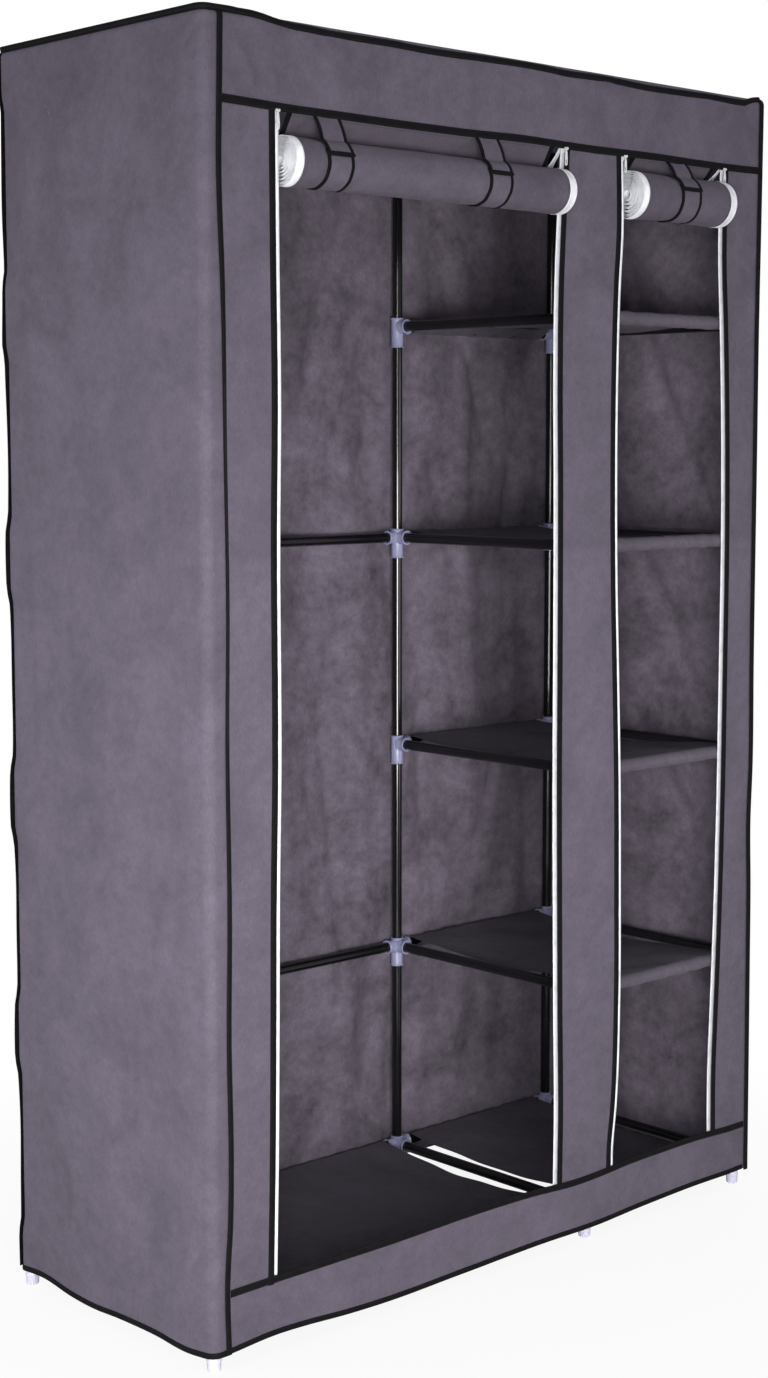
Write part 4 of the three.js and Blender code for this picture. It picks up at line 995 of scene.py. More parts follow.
back_waves = unevenness(51, 0.30, 0.08, 0.45, 0.0042)
packing_folds = (-0.41, -0.13, 0.0, 0.28, 0.43)
back_fold_spacing = 0.282
back_fold_depth = 0.0035
back_creases = (
    ((-0.3, 1.5), (-0.36, 0.9), 0.014, 0.0065), ((-0.2, 1.3), (-0.02, 0.8), 0.016, 0.0057),
    ((0.1, 1.62), (-0.06, 1.15), 0.018, 0.0076), ((0.16, 1.5), (0.02, 1.2), 0.014, -0.0057),
    ((0.3, 1.5), (0.44, 1.15), 0.014, 0.0068), ((0.02, 0.9), (0.08, 0.3), 0.014, 0.0061),
    ((0.25, 1.25), (0.38, 0.85), 0.016, 0.0065), ((0.5, 1.4), (0.4, 0.95), 0.013, -0.0053),
    ((0.46, 0.8), (0.36, 0.45), 0.012, 0.0061), ((-0.45, 0.7), (-0.33, 0.2), 0.015, 0.0061),
    ((0.22, 0.45), (0.46, 0.3), 0.014, 0.0049), ((-0.1, 0.6), (-0.22, 0.15), 0.015, 0.0057),
    ((0.352, 1.6), (0.345, 0.98), 0.02, -0.0062), ((0.35, 1.12), (0.362, 0.46), 0.021, -0.0066),
    ((0.1, 1.02), (0.12, 0.36), 0.02, -0.0060), ((0.462, 1.4), (0.45, 0.7), 0.017, 0.0056),
    ((0.262, 0.98), (0.25, 0.5), 0.016, 0.0050), ((0.13, 0.52), (0.06, 0.12), 0.022, -0.0060))


def back_grid():
    """From the rear left seam across the back to the rear right one."""
    turn = np.linspace(math.pi / 2 - rear_seam_angle, 0, 7)
    flat_x = np.linspace(left_x, right_x, 130)[1:-1]
    level = np.concatenate(
        [left_x - rear_hug * np.sin(turn), flat_x, right_x + rear_hug * np.sin(turn[::-1])])
    hem = hem_height + back_hem_wander(level)
    z, over = upright_z(side_rows, hem)
    squeeze = np.cos(over)
    z = z + top_rise * np.sin(over)
    near_post = np.minimum(level - left_x, right_x - level)
    hug = rear_reach(z[:, :1])
    reach = hug + (side_stand_off - hug) * eased(near_post / easing_to_rear)
    reach[:, :7], reach[:, -7:] = hug * np.cos(turn), hug * np.cos(turn[::-1])
    x = np.broadcast_to(level, z.shape).copy()
    x[:, :7] = left_x - hug * np.sin(turn) * squeeze
    x[:, -7:] = right_x + hug * np.sin(turn[::-1]) * squeeze
    fold_place = level - 0.352 - 0.012 * np.sin(5.2 * z + 0.6) - 0.006 * np.sin(13 * z)
    fold_share = 0.72 + 0.28 * np.sin(6.3 * z + 9 * level)
    bulge = 0.0016 + back_waves(level, z) + back_fold_depth * fold_share * np.abs(
        np.sin(math.pi * fold_place / back_fold_spacing)) ** 0.85
    for place in packing_folds:
        bulge = bulge + crease(level, z, (place, 1.74), (place + 0.004, 0.03), 0.0035, 0.0013)
    for start, end, width, height in back_creases:
        bulge = bulge + crease(level, z, start, end, width, height)
    post_gap = np.abs(level - middle_x)
    bulge = np.maximum(bulge, least_stand_off(gap_to_tiers(z), post_gap, back_beside_tubes) - reach)
    fade = eased(near_post / front_fade) * free_height(z, hem)
    return np.stack([x, back_y + reach * squeeze + bulge * fade, z], axis=-1)


back_middle = back_grid()
back = add_cloth("cover_back_cloth", [cloth_part(back_middle, towards=(0, 1, 0))], cover_finishes)
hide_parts("cover_back")
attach(back, "wardrobe")

# The cover's front: header, three stiles and bottom band
# Strips of the same cloth round the two doorways, sewn together under the black bindings.
seam_allowance = 0.0004
stile_steps = 150
stile_columns = 14
middle_height = 0.9
header_middle_height = 1.70
band_middle_height = 0.06


def header_grid():
    across = np.linspace(0, 1, 150)
    left, right = front_left_seam(header_middle_height), right_corner(header_middle_height)
    nominal_x = left + across * (right - left)
    out = front_out(nominal_x)
    rows = np.concatenate([np.linspace(0, 1, 22)[:-1], 1 + np.linspace(0, 1, 6)])
    low = header_seam(nominal_x) + seam_allowance
    z = low + np.minimum(rows, 1)[:, None] * (top_turn_height - low)
    over = np.clip(rows - 1, 0, 1)[:, None] * np.arccos(out)
    x = front_left_seam(z) + across * (right_corner(z) - front_left_seam(z))
    bulge = front_bulge(x, z)
    z = z + top_rise * np.sin(over) + top_flap_wander(x) * eased(
        (z - top_turn_height + 0.03) / 0.03)
    inward = (1 - np.cos(over)) * side_stand_off * eased((x - right_x) / 0.01)
    return np.stack([x - inward, front_y - front_stand_off * np.cos(over) - bulge, z], axis=-1)


def stile_grid(left_edge, right_edge):
    across = np.linspace(0, 1, stile_columns)
    up = np.linspace(0, 1, stile_steps)[:, None]
    left, right = left_edge(middle_height), right_edge(middle_height)
    nominal = left + across * (right - left)
    low, high = band_seam(nominal) + seam_allowance, header_seam(nominal) - seam_allowance
    z = low + up * (high - low)
    x = left_edge(z) + across * (right_edge(z) - left_edge(z))
    return front_place(x, z)


def band_grid():
    across = np.linspace(0, 1, 150)
    left, right = front_left_seam(band_middle_height), right_corner(band_middle_height)
    x = left + across * (right - left)
    low, high = front_hem(x), band_seam(x) - seam_allowance
    z = low + np.linspace(0, 1, 14)[:, None] * (high - low)
    x = front_left_seam(z) + across * (right_corner(z) - front_left_seam(z))
    return front_place(x, z)


header = add_cloth(
    "cover_header_cloth", [cloth_part(header_grid(), towards=(0, -1, 0))], cover_finishes)
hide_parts("cover_header")
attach(header, "wardrobe")

stile_edges = {
    "left": (front_left_seam, lambda z: doorway_edge("left_left", z), 0.081),
    "centre": (
        lambda z: doorway_edge("left_right", z), lambda z: doorway_edge("right_left", z), 0.121),
    "right": (lambda z: doorway_edge("right_right", z), right_corner, 0.094),
}
for place, (left_edge, right_edge, width) in stile_edges.items():
    stile = add_cloth(
        f"cover_{place}_stile_cloth",
        [cloth_part(stile_grid(left_edge, right_edge), towards=(0, -1, 0))], cover_finishes)
    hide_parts(f"cover_{place}_stile")
    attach(stile, "wardrobe")

band = add_cloth(
    "cover_bottom_band_cloth", [cloth_part(band_grid(), towards=(0, -1, 0))], cover_finishes)
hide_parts("cover_bottom_band")
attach(band, "wardrobe")

# Bindings over the seams
# Black woven tape, about a centimetre wide, folded over the raw edges and sewn through. It lies
# flat on the front and stands up as a small fin round the top, where the seam is not pressed.
tape_outline = np.array(
    [
        (-0.5, 0), (-0.5, 0.5), (-0.4, 0.92), (-0.15, 1), (0.15, 1), (0.4, 0.92), (0.5, 0.5),
        (0.5, 0)])


def lengths_of(vectors):
    return np.linalg.norm(vectors, axis=-1, keepdims=True)


def swept_part(path, outward, sections, closed=False):
    """A closed outline carried along a path, drawn aside of it and outwards from it."""
    path = np.asarray(path, float)
    count = np.shape(sections)[-2]
    sections = np.broadcast_to(sections, (len(path), count, 2))
    if closed:
        ahead = np.roll(path, -1, axis=0) - np.roll(path, 1, axis=0)
    else:
        ahead = np.gradient(path, axis=0)
    ahead = ahead / lengths_of(ahead)
    outward = np.broadcast_to(outward, path.shape)
    outward = outward - (outward * ahead).sum(axis=1, keepdims=True) * ahead
    outward = outward / lengths_of(outward)
    aside = np.cross(ahead, outward)
    points = (path[:, None] + sections[..., :1] * aside[:, None]
              + sections[..., 1:] * outward[:, None])
    faces = grid_faces(len(path), count, closed=True).tolist()
    last = (len(path) - 1) * count
    if closed:
        faces += [(last + i, last + (i + 1) % count, (i + 1) % count, i) for i in range(count)]
    else:
        faces += [tuple(range(count)), tuple(range(last, last + count))]
    along = np.concatenate([[0], np.cumsum(lengths_of(np.diff(path, axis=0)))])
    half_width = np.abs(sections[..., 0]).max(axis=1, keepdims=True)
    flat = np.stack([np.broadcast_to(along[:, None], (len(path), count)), sections[..., 0],
                     half_width - np.abs(sections[..., 0])], axis=-1)
    return points.reshape(-1, 3), faces, np.zeros(len(faces)), flat.reshape(-1, 3)


def tape_part(path, outward, width, lean=0.0, height=0.0013, lift=0.0006, closed=False):
    """A tape along a path; lean lifts one of its edges off the cloth, an angle in radians."""
    width = np.broadcast_to(width, len(path))[:, None]
    lean = np.broadcast_to(lean, len(path))[:, None]
    across, up = tape_outline[:, 0] * width, tape_outline[:, 1] * height
    sections = np.stack(
        [
            across * np.cos(lean) - up * np.sin(lean),
            across * np.sin(lean) + up * np.cos(lean) + lift + width / 2 * np.abs(np.sin(lean))],
        axis=-1)
    return swept_part(path, outward, sections, closed)


def woven_finish(name, colour, thread_colour, rib_pitch, roughness):
    finish, tree, shader = new_finish(name, Specular_IOR_Level=0.10)
    flat, along, _, _ = flat_place_in(tree)
    ribs = maths(tree, "SINE", maths(tree, "MULTIPLY", along, 2 * math.pi / rib_pitch))
    wear = noise(tree, flat, 90.0, 5.0)
    toned = scaled_colour(tree, colour, ranged(tree, wear, 0.3, 0.75, 0.7, 1.7))
    thread = set_node(
        tree, "ShaderNodeGroup", {"Inset": 0.0016, "Thread Width": 0.0004, "Stitch Length": 0.0034},
        node_tree=stitch_rows).outputs["Thread"]
    fill(tree, shader, {
        "Base Color": mix_colours(tree, thread, toned, opaque(thread_colour)),
        "Roughness": ranged(tree, wear, 0.0, 1.0, roughness - 0.08, roughness + 0.08),
        "Normal": bumped(tree, maths(tree, "ADD", ribs, thread), 0.5, 0.00012)})
    return finish


binding_finish = woven_finish(
    "black_binding_tape", (0.0040, 0.0037, 0.0044), (0.012, 0.0115, 0.013), 0.0009, 0.74)
seam_tape_width = 0.0100
door_edge_width = 0.0100
rear_tape_width = 0.0085
fin_height = 0.0018
turned_edge = math.acos(top_seam_out)
front_tapes = []


def upright_tape(edge_at, low, high, width, lift, over_top=False):
    z = np.linspace(low, high, 170)
    path = front_place(edge_at(z), z)
    outward = np.tile((0.0, -1.0, 0.0), (len(z), 1))
    if over_top:
        turn = np.linspace(0, turned_edge, 7)[1:]
        over = np.stack([np.full(6, path[-1, 0]), front_y - front_stand_off * np.cos(turn),
                         top_turn_height + top_rise * np.sin(turn)], axis=-1)
        path = np.concatenate([path, over])
        outward = np.concatenate(
            [outward, np.stack([0 * turn, -np.cos(turn), np.sin(turn)], axis=-1)])
    width = width(path[:, 2]) if callable(width) else width
    front_tapes.append(tape_part(path, outward, width, lift=lift))


def level_tape(height_at, first, last, width, lift):
    x = np.linspace(first, last, 170)
    front_tapes.append(tape_part(front_place(x, height_at(x)), (0, -1, 0), width, lift=lift))


left_seam_width = wander(
    (0, 8.5), (0.3, 8), (0.7, 6.5), (0.9, 5.4), (1.25, 5.4), (1.5, 8), (1.75, 9))
upright_tape(front_left_seam, hem_height, top_turn_height, left_seam_width, 0.0022, over_top=True)
upright_tape(
    lambda z: right_corner(z) - 0.0047, hem_height, top_turn_height, 0.0098, 0.0022, over_top=True)
for place, aside in (("left_left", -0.0056), ("left_right", 0.0048), ("right_left", -0.0056),
                     ("right_right", 0.0050)):
    upright_tape(lambda z: doorway_edge(place, z) + aside, band_seam_height - 0.004,
                 header_seam(cad_doorways[place]) + 0.004, door_edge_width, 0.0005)
tape_start = front_left_seam(middle_height) - 0.001
tape_end = right_corner(middle_height) - 0.004
level_tape(lambda x: header_seam(x) + 0.0050, tape_start, tape_end, 0.0102, 0.0013)
level_tape(band_seam, tape_start, tape_end, seam_tape_width, 0.0013)
level_tape(lambda x: front_hem(x) + 0.0040, tape_start, tape_end, 0.0078, 0.0006)
front_tape = add_cloth("front_seam_bindings", front_tapes, [binding_finish])
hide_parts("front_bindings")
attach(front_tape, "wardrobe")


def rim_normals(out_x, out_y, sign_x, sign_y):
    squeeze = np.maximum(out_x, out_y) / np.maximum(np.hypot(out_x, out_y), 1e-6)
    out_x, out_y = out_x * squeeze, out_y * squeeze
    up = np.sqrt(np.clip(1 - out_x**2 - out_y**2, 0, 1))
    return np.stack([sign_x * out_x, sign_y * out_y, up], axis=-1)


top_outward = rim_of(rim_normals(out_x, out_y, sign_x, sign_y))
top_path = rim_of(top_middle)
fold_waves = unevenness(61, 0.20, 0.05, 0, 0.26)
on_front = eased((-top_outward[:, 1] - 0.35) / 0.3) * eased(
    (top_path[:, 0] - left_x - 0.022) / 0.03)
near_tip = eased((top_path[:, 0] - right_x + 0.022) / 0.022)
on_left = eased((middle_x - top_path[:, 0]) / 0.5) * (1 - on_front)
lean = -(0.24 + 0.5 * near_tip + fold_waves(top_path[:, 0] + 2 * top_path[:, 1], 0)) * on_front
lean = lean - 1.02 * on_left - 0.5 * (1 - on_left) * (1 - on_front)
top_tape = add_cloth(
    "top_seam_binding",
    [tape_part(top_path, top_outward, 0.0086, lean, height=fin_height, lift=0.0004, closed=True)],
    [binding_finish])
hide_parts("top_binding")
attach(top_tape, "wardrobe")

for name, post_x, sign in (("left", left_x, -1), ("right", right_x, 1)):
    z = np.linspace(hem_height + 0.004, top_turn_height, 120)
    turn = np.linspace(0, turned_edge, 7)[1:]
    upright = np.concatenate([np.ones(len(z)), np.cos(turn)])
    reach = np.concatenate(
        [rear_reach(z), np.full(len(turn), rear_reach(top_turn_height))]) * upright
    high = np.concatenate([z, top_turn_height + top_rise * np.sin(turn)])
    corner = np.array([sign * math.cos(rear_seam_angle), math.sin(rear_seam_angle), 0])
    path = np.array([post_x, back_y, 0]) + reach[:, None] * corner
    path[:, 2] = high
    outward = upright[:, None] * corner
    outward[:, 2] = np.concatenate([0 * z, np.sin(turn)])
    corner_lean = 0.45 + 0.25 * unevenness(71, 0.4, 0.1, 0, 1)(high, 0)
    rear_tape = add_cloth(
        f"rear_{name}_seam_binding",
        [tape_part(path, outward, rear_tape_width, corner_lean * -sign, height=fin_height)],
        [binding_finish])
    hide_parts(f"rear_{name}_binding")
    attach(rear_tape, "wardrobe")

hem_path = np.concatenate(
    [left_side_middle[0, ::-1], back_middle[0, 1:], right_side_middle[0, -2::-1]])
hem_path = hem_path + np.array([0, 0, 0.0040])
hem_outward = np.cross((0, 0, 1), np.gradient(hem_path, axis=0))
hem_tape = add_cloth(
    "hem_seam_binding", [tape_part(hem_path, hem_outward, 0.0080)], [binding_finish])
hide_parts("hem_binding")
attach(hem_tape, "wardrobe")

# Zip tapes round the doorways
# White polyester tape sewn behind the edge of each doorway, with a woven-in coil of teeth along
# its free edge. The door's own half of each zip is rolled up with the door.
zip_width = 0.015
zip_shown = 0.0076
tooth_pitch = 0.0013
coil_start = 0.0042


def zip_finish_of(name, colour):
    finish, tree, shader = new_finish(
        name, Roughness=0.6, Sheen_Weight=0.15, Specular_IOR_Level=0.4)
    flat, along, aside, _ = flat_place_in(tree)
    teeth = maths(tree, "SINE", maths(tree, "MULTIPLY", along, 2 * math.pi / tooth_pitch))
    coil = maths(tree, "MULTIPLY", teeth, maths(tree, "GREATER_THAN", aside, coil_start))
    dirt = ranged(tree, noise(tree, flat, 60.0, 5.0), 0.45, 0.8)
    # Painted shade as well as dirt: the tape is also darkened in the gaps between the coil's teeth.
    marks = maths(tree, "MAXIMUM", dirt, ranged(tree, coil, -1.0, -0.2, 0.55, 0.0))
    fill(tree, shader, {
        "Base Color": mix_colours(tree, marks, opaque(colour), opaque(colour, 0.72)),
        "Normal": bumped(tree, coil, 0.7, 0.0003)})
    return finish


zip_finish = zip_finish_of("white_zip_tape", (0.84, 0.85, 0.88))
zip_outline = np.array(
    [
        (-0.0074, -0.0003), (-0.0074, 0.0003), (0.0030, 0.0004), (0.0038, 0.0011), (0.0052, 0.0013),
        (0.0066, 0.0010), (0.0072, 0.0002), (0.0068, -0.0007), (0.0052, -0.0009), (0.0038, -0.0007),
        (0.0030, -0.0003)])
zip_depth = 0.0021
zip_rows = [
    (f"{door}_door", side, inner) for door in ("left", "right") for side,
    inner in (("left", 1), ("right", -1))]
for door, side, inner in zip_rows:
    place = f"{door.removesuffix('_door')}_{side}"
    z = np.linspace(band_seam_height - 0.004, header_seam_height + 0.001, 200)
    path = front_place(doorway_edge(place, z) + inner * (zip_shown - zip_width / 2), z)
    points, faces, finishes, flat = swept_part(
        path + np.array([0, zip_depth, 0]), (0, -1, 0), zip_outline * np.array([inner, 1]))
    flat[:, 1] *= inner
    zip_tape = add_cloth(
        f"{door}_{side}_cover_zip_tape", [(points, faces, finishes, flat)], [zip_finish])
    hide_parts(f"{door}_{side}_cover_tape")
    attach(zip_tape, "wardrobe")

# Zip sliders and pulls
# White lacquered die-cast sliders, parked at the top of each zip: two plates joined by a web, and
# a neck in front with a pin. A long pull with an oval hole swings on the pin by its two eyes.
metal_finish, tree, shader = new_finish(
    "white_lacquered_metal", Metallic=0.0, Coat_Weight=0.35, Coat_Roughness=0.15,
    Specular_IOR_Level=0.5)
marks = set_node(tree, "ShaderNodeGroup", {
    "Patch Size": 0.012, "Speck Size": 0.0006, "Amount": 0.4}, node_tree=handling).outputs
fill(tree, shader, {
    "Base Color": mix_colours(tree, marks["Mask"], (0.72, 0.72, 0.74, 1), (0.42, 0.42, 0.44, 1)),
    "Roughness": ranged(tree, marks["Mask"], 0.0, 1.0, 0.28, 0.5)})


def plate_part(outline, hole, back, front):
    """A plate facing the front from an outline of (x, z), with a hole of as many points."""
    count = len(outline)
    middle = outline.mean(axis=0)
    bevel = middle + (outline - middle) * 0.93
    depth = front - back
    rings = [
        (hole, back), (bevel, back), (outline, back + 0.25 * depth),
        (outline, front - 0.25 * depth), (bevel, front), (hole, front)]
    points = np.concatenate([
        np.stack([ring[:, 0], np.full(count, y), ring[:, 1]], axis=-1) for ring, y in rings])
    faces = grid_faces(len(rings), count, closed=True).tolist()
    last = (len(rings) - 1) * count
    faces += [(last + i, last + (i + 1) % count, (i + 1) % count, i) for i in range(count)]
    return points, faces


def rounded(half_width, half_height, power, angles):
    """An outline of (x, z) from an oval, at power 1, to a box with round corners, near 0."""
    c, s = np.cos(angles), np.sin(angles)
    return np.stack([half_width * np.copysign(np.abs(c) ** power, c),
                     half_height * np.copysign(np.abs(s) ** power, s)], axis=-1)


def chamfered(bore, radius, half_length, sides):
    """A short round bar or ring along Z with chamfered ends."""
    cut = 0.0002
    return turned(
        [
            (bore, -half_length), (radius - cut, -half_length), (radius, cut - half_length),
            (radius, half_length - cut), (radius - cut, half_length), (bore, half_length)], sides)


plate_angles = np.arange(28) * 2 * math.pi / 28
bar_angles = plate_angles[::2] + math.pi / 28
plate_thickness = 0.0010
pin_to_plate = 0.0037
pull_to_pin = 0.0021
pull_plate_drop = 0.0016
slider_play = 0.0001
web_inset, web_half_width = 0.0006, 0.0005
web_low, web_high = -0.0048, 0.0054
neck_half_width, neck_half_height, neck_in_plate = 0.00075, 0.00085, 0.0005
pin_radius, pin_half_length = 0.00085, 0.0031
pull_half_thickness = 0.0007
eye_radius, eye_bore, eye_half_width, eye_offset = 0.00205, 0.00112, 0.00075, 0.0020


def slider_parts(low, high, hinge, inner):
    """Two plates joined by a web on one side, and a neck on the front one that holds the pin."""
    centre_x, pin_y, centre_z = hinge
    front_plate = pin_y + pin_to_plate
    half_width, half_height = (high.x - low.x) / 2 - slider_play, (high.z - low.z) / 2
    outline = rounded(half_width, half_height, 0.6, plate_angles)
    outline[:, 0] *= 0.88 + 0.12 * (outline[:, 1] / half_height)
    hole = rounded(0.0003, 0.0003, 1.0, plate_angles) + (0, 0.0036)
    parts = []
    for back in (high.y, front_plate + plate_thickness):
        points, faces = plate_part(outline, hole, back, back - plate_thickness)
        parts.append((points + (centre_x, 0, centre_z), faces))
    web_x, web_y = centre_x + inner * (half_width - web_inset), (high.y + front_plate) / 2
    web = [(web_x, web_y, z) for z in np.linspace(centre_z + web_low, centre_z + web_high, 9)]
    web_section = rounded(web_half_width, (high.y - front_plate) / 2, 0.4, bar_angles)
    neck = [(centre_x, y, centre_z) for y in np.linspace(pin_y, front_plate + neck_in_plate, 6)]
    neck_section = rounded(neck_half_width, neck_half_height, 0.4, bar_angles)
    parts += [
        swept_part(web, (0, -1, 0), web_section)[:2], swept_part(neck, (0, 0, 1), neck_section)[:2]]
    points, faces = chamfered(0.0001, pin_radius, pin_half_length, 20)
    return [*parts, (standing(points, hinge, (1, 0, 0)), faces)]


def pull_parts(low, high, hinge):
    """A long plate with an oval hole, and two eyes round the pin, one on each side of the neck."""
    half_width, half_length = (high.x - low.x) / 2, (hinge[2] - low.z - pull_plate_drop) / 2
    outline = rounded(half_width, half_length, 0.6, plate_angles)
    outline[:, 0] *= 0.80 - 0.20 * (outline[:, 1] / half_length)
    hole = rounded(0.0013, 0.0040, 1.0, plate_angles) + (0, -0.0052)
    points, faces = plate_part(outline, hole, pull_half_thickness, -pull_half_thickness)
    parts = [(points + (*hinge[:2], low.z + half_length), faces)]
    for aside in (-eye_offset, eye_offset):
        points, faces = chamfered(eye_bore, eye_radius, eye_half_width, 24)
        parts.append((standing(points, (hinge[0] + aside, *hinge[1:]), (1, 0, 0)), faces))
    return parts


for door, side, inner in zip_rows:
    low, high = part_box(f"{door}_{side}_zip_slider")
    pull_low, pull_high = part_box(f"{door}_{side}_zip_pull")
    hinge = ((low.x + high.x) / 2, pull_low.y + pull_to_pin, (low.z + high.z) / 2)
    slider = add_piece(
        f"{door}_{side}_slider_body", slider_parts(low, high, hinge, inner), [metal_finish],
        sharp_angle=50)
    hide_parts(f"{door}_{side}_zip_slider")
    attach(slider, f"{door}_{side}_slider")

    pull = add_piece(
        f"{door}_{side}_pull_tab", pull_parts(pull_low, pull_high, hinge), [metal_finish],
        sharp_angle=50)
    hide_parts(f"{door}_{side}_zip_pull")
    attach(pull, f"{door}_{side}_pull")

# Clothes rail
# A steel tube across the hanging bay. Moulded clips hook it under the two top side tubes, each
# with a ring round the side tube, a short web and a sleeve for the rail's end.
rail_low, rail_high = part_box("clothes_rail")
rail_y = (rail_low.y + rail_high.y) / 2
rail_z = rail_low.z + 0.010
clip_half_width = 0.009
clip_rim = 0.0092
sleeve_length = 0.038
clip_web = rounded(0.0056, 0.0056, 0.35, (np.arange(16) + 0.5) * math.pi / 8)
parts = []
for post_x, inner in ((left_x, 1), (middle_x, -1)):
    ring = [(sleeve_bore, -clip_half_width), (clip_rim, -clip_half_width), (sleeve_radius, -0.0082),
            (sleeve_radius, 0.0082), (clip_rim, clip_half_width), (sleeve_bore, clip_half_width)]
    points, faces = turned(ring, sleeve_sides)
    parts.append((standing(points, (post_x, rail_y, top_tier), (0, 1, 0)), faces))
    web = [(post_x, rail_y, z) for z in np.linspace(rail_z + 0.007, top_tier - 0.007, 5)]
    parts.append(swept_part(web, (0, -1, 0), clip_web)[:2])
    sleeve = [(0.0001, 0.0), (0.0088, 0.0), (sleeve_radius, 0.001), *flared_mouth(sleeve_length),
              (0.0001, 0.002)]
    points, faces = turned(sleeve, sleeve_sides)
    parts.append((standing(points, (post_x - inner * 0.008, rail_y, rail_z), (inner, 0, 0)), faces))
rail_clips = add_piece("clothes_rail_clips", parts, [connector_finish], sharp_angle=50)
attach(rail_clips, "wardrobe")
rail_ends = (left_x - 0.005, rail_y, rail_z), (middle_x + 0.005, rail_y, rail_z)
rail = add_piece("clothes_rail_tube", [tube_part(*rail_ends)], [tube_finish])
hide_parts("clothes_rail")
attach(rail, "wardrobe")

# Shelves and floor cloths
# Each is one sheet with a hem sleeve at the front and back, pushed over the front and back
# tubes of its level. The cloth gathers a little on the tubes and sags between them.
# Painted shade: the shelf and floor cloths are the cover's cloth made darker, for the shade inside
# the wardrobe.
shaded_shelf_cloth = cloth_finish("shaded_shelf_cloth", (0.084, 0.072, 0.093), 0.5, seed=7.0)
hem_reach = 0.0088
hem_tail = 0.026
hem_turn = math.radians(208)
shelf_sag = 0.0082
edge_sag = 0.003
gather_reach = 0.045
ruffle_height, ruffle_pitch = 0.0012, 60
shelf_column = 0.0075


def shelf_grid(start_x, end_x, height, seed):
    dice = np.random.default_rng(seed)
    turn = np.linspace(0, hem_turn, 22)
    around = np.stack([-hem_reach * np.sin(turn), hem_reach * np.cos(turn)], axis=-1)
    tail = around[-1] + np.linspace(0, 1, 7)[1:, None] * (
        np.array([hem_tail, hem_reach - 0.0026]) - around[-1])
    front = np.concatenate([tail[::-1], around[::-1]])
    span = np.linspace(0, 1, 44)[1:-1]
    depth = back_y - front_y
    section = np.concatenate(
        [
            front + np.array([front_y, 0]),
            np.stack([front_y + span * depth, np.full(len(span), hem_reach)], axis=-1),
            (front * np.array([-1, 1]))[::-1] + np.array([back_y, 0])])
    x = np.linspace(start_x, end_x, max(40, int((end_x - start_x) / shelf_column)))
    y = np.repeat(section[:, :1], len(x), axis=1)
    z = np.repeat(section[:, 1:], len(x), axis=1)
    share = np.clip((y - front_y) / depth, 0, 1)
    gathers = unevenness(seed, 0.060, 0.018, 0.2, 0.0008)
    waves = unevenness(seed + 1, 0.26, 0.07, 0.8, 0.0020)
    x_grid = np.broadcast_to(x, y.shape)
    end_distance = np.minimum(y - front_y, back_y - y)
    near_tube = np.exp(-np.clip(end_distance, 0, None) / gather_reach)
    swell = 0.0009 + gathers(x_grid, 0 * y + (y > 0))
    free = np.sin(math.pi * share)
    edge_droop = edge_sag * np.exp(-np.minimum(x_grid - start_x, end_x - x_grid) / 0.03) * free
    z = z - shelf_sag * free + waves(x_grid, y) * np.clip(2.5 * free, 0, 1) - edge_droop
    on_sleeve = (share <= 0) | (share >= 1)
    centre_y = np.where(y < 0, front_y, back_y)
    radial_y, radial_z = np.where(on_sleeve, y - centre_y, 0), np.where(on_sleeve, z, 1)
    size = np.maximum(np.hypot(radial_y, radial_z), 1e-6)
    lift = np.clip(swell, 0.0001, None) * near_tube
    y = y + lift * radial_y / size
    z = z + lift * radial_z / size
    edge_shift = dice.uniform(-0.001, 0.001, 2)
    ruffle = ruffle_height * np.sin(y * ruffle_pitch + seed)
    stretch = (x_grid - start_x) / (end_x - start_x)
    x_grid = x_grid + (1 - stretch) * (edge_shift[0] + ruffle) + stretch * (edge_shift[1] - ruffle)
    return np.stack([x_grid, y, z + height], axis=-1)


shelf_nodes = [(f"shelf_{tier}", tier) for tier in range(1, tier_count - 1)]
shelf_nodes += [("floor_cloth_left", 0), ("floor_cloth_right", 0)]
for seed, (name, tier) in enumerate(shelf_nodes):
    low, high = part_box(name)
    middle = shelf_grid(low.x + 0.001, high.x - 0.001, tier_heights[tier], 80 + 3 * seed)
    shelf = add_cloth(f"{name}_sheet", [cloth_part(middle)], [shaded_shelf_cloth, shaded_shelf_cloth])
    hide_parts(name)
    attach(shelf, "wardrobe")

# Rolled doors
# Each door is a cloth curtain with half of a zip down both sides. It hangs from the header seam
# and is rolled up outwards, about eleven turns; the turns lie in loose pairs, and the zip tapes
# show at the ends as a spiral of white tape.
door_cloth_thickness = 0.0008
strap_edge = np.array([(-0.0026, -0.0006), (-0.0021, -0.0012), (0.0021, -0.0012), (0.0026, -0.0006),
                       (0.0026, 0.0006), (0.0021, 0.0012), (-0.0021, 0.0012), (-0.0026, 0.0006)])
door_length = 1.538
roll_eye = 0.0060
pair_swing = 0.00055
turn_steps_round = 46
hanging_steps = 17
seam_tuck = 0.0008
roll_slack = 0.0018
door_rolls = {"left_door": {"straps": ("left", "middle")}, "right_door": {"straps": ("right",)}}
for door, roll in door_rolls.items():
    low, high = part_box(door)
    roll["body"] = door.replace("_door", "_rolled_door")
    roll["low_x"], roll["high_x"] = low.x, high.x
    roll["radius"] = (high.y - low.y) / 2 - roll_slack + door_cloth_thickness
    roll["axis"] = low.z + (high.y - low.y) / 2
    roll["seam"] = header_seam_height - seam_tuck
    roll["reach"] = roll["seam"] - roll["axis"]
    roll["start"] = math.acos(roll["radius"] / roll["reach"])
    roll["strap_places"] = [
        (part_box(f"{strap}_strap_loop")[0].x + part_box(f"{strap}_strap_loop")[1].x) / 2
        for strap in roll["straps"]]
    hanging = math.sqrt(roll["reach"] ** 2 - roll["radius"] ** 2)
    roll["turns"] = (door_length - hanging) / (math.pi * (roll["radius"] + roll_eye))

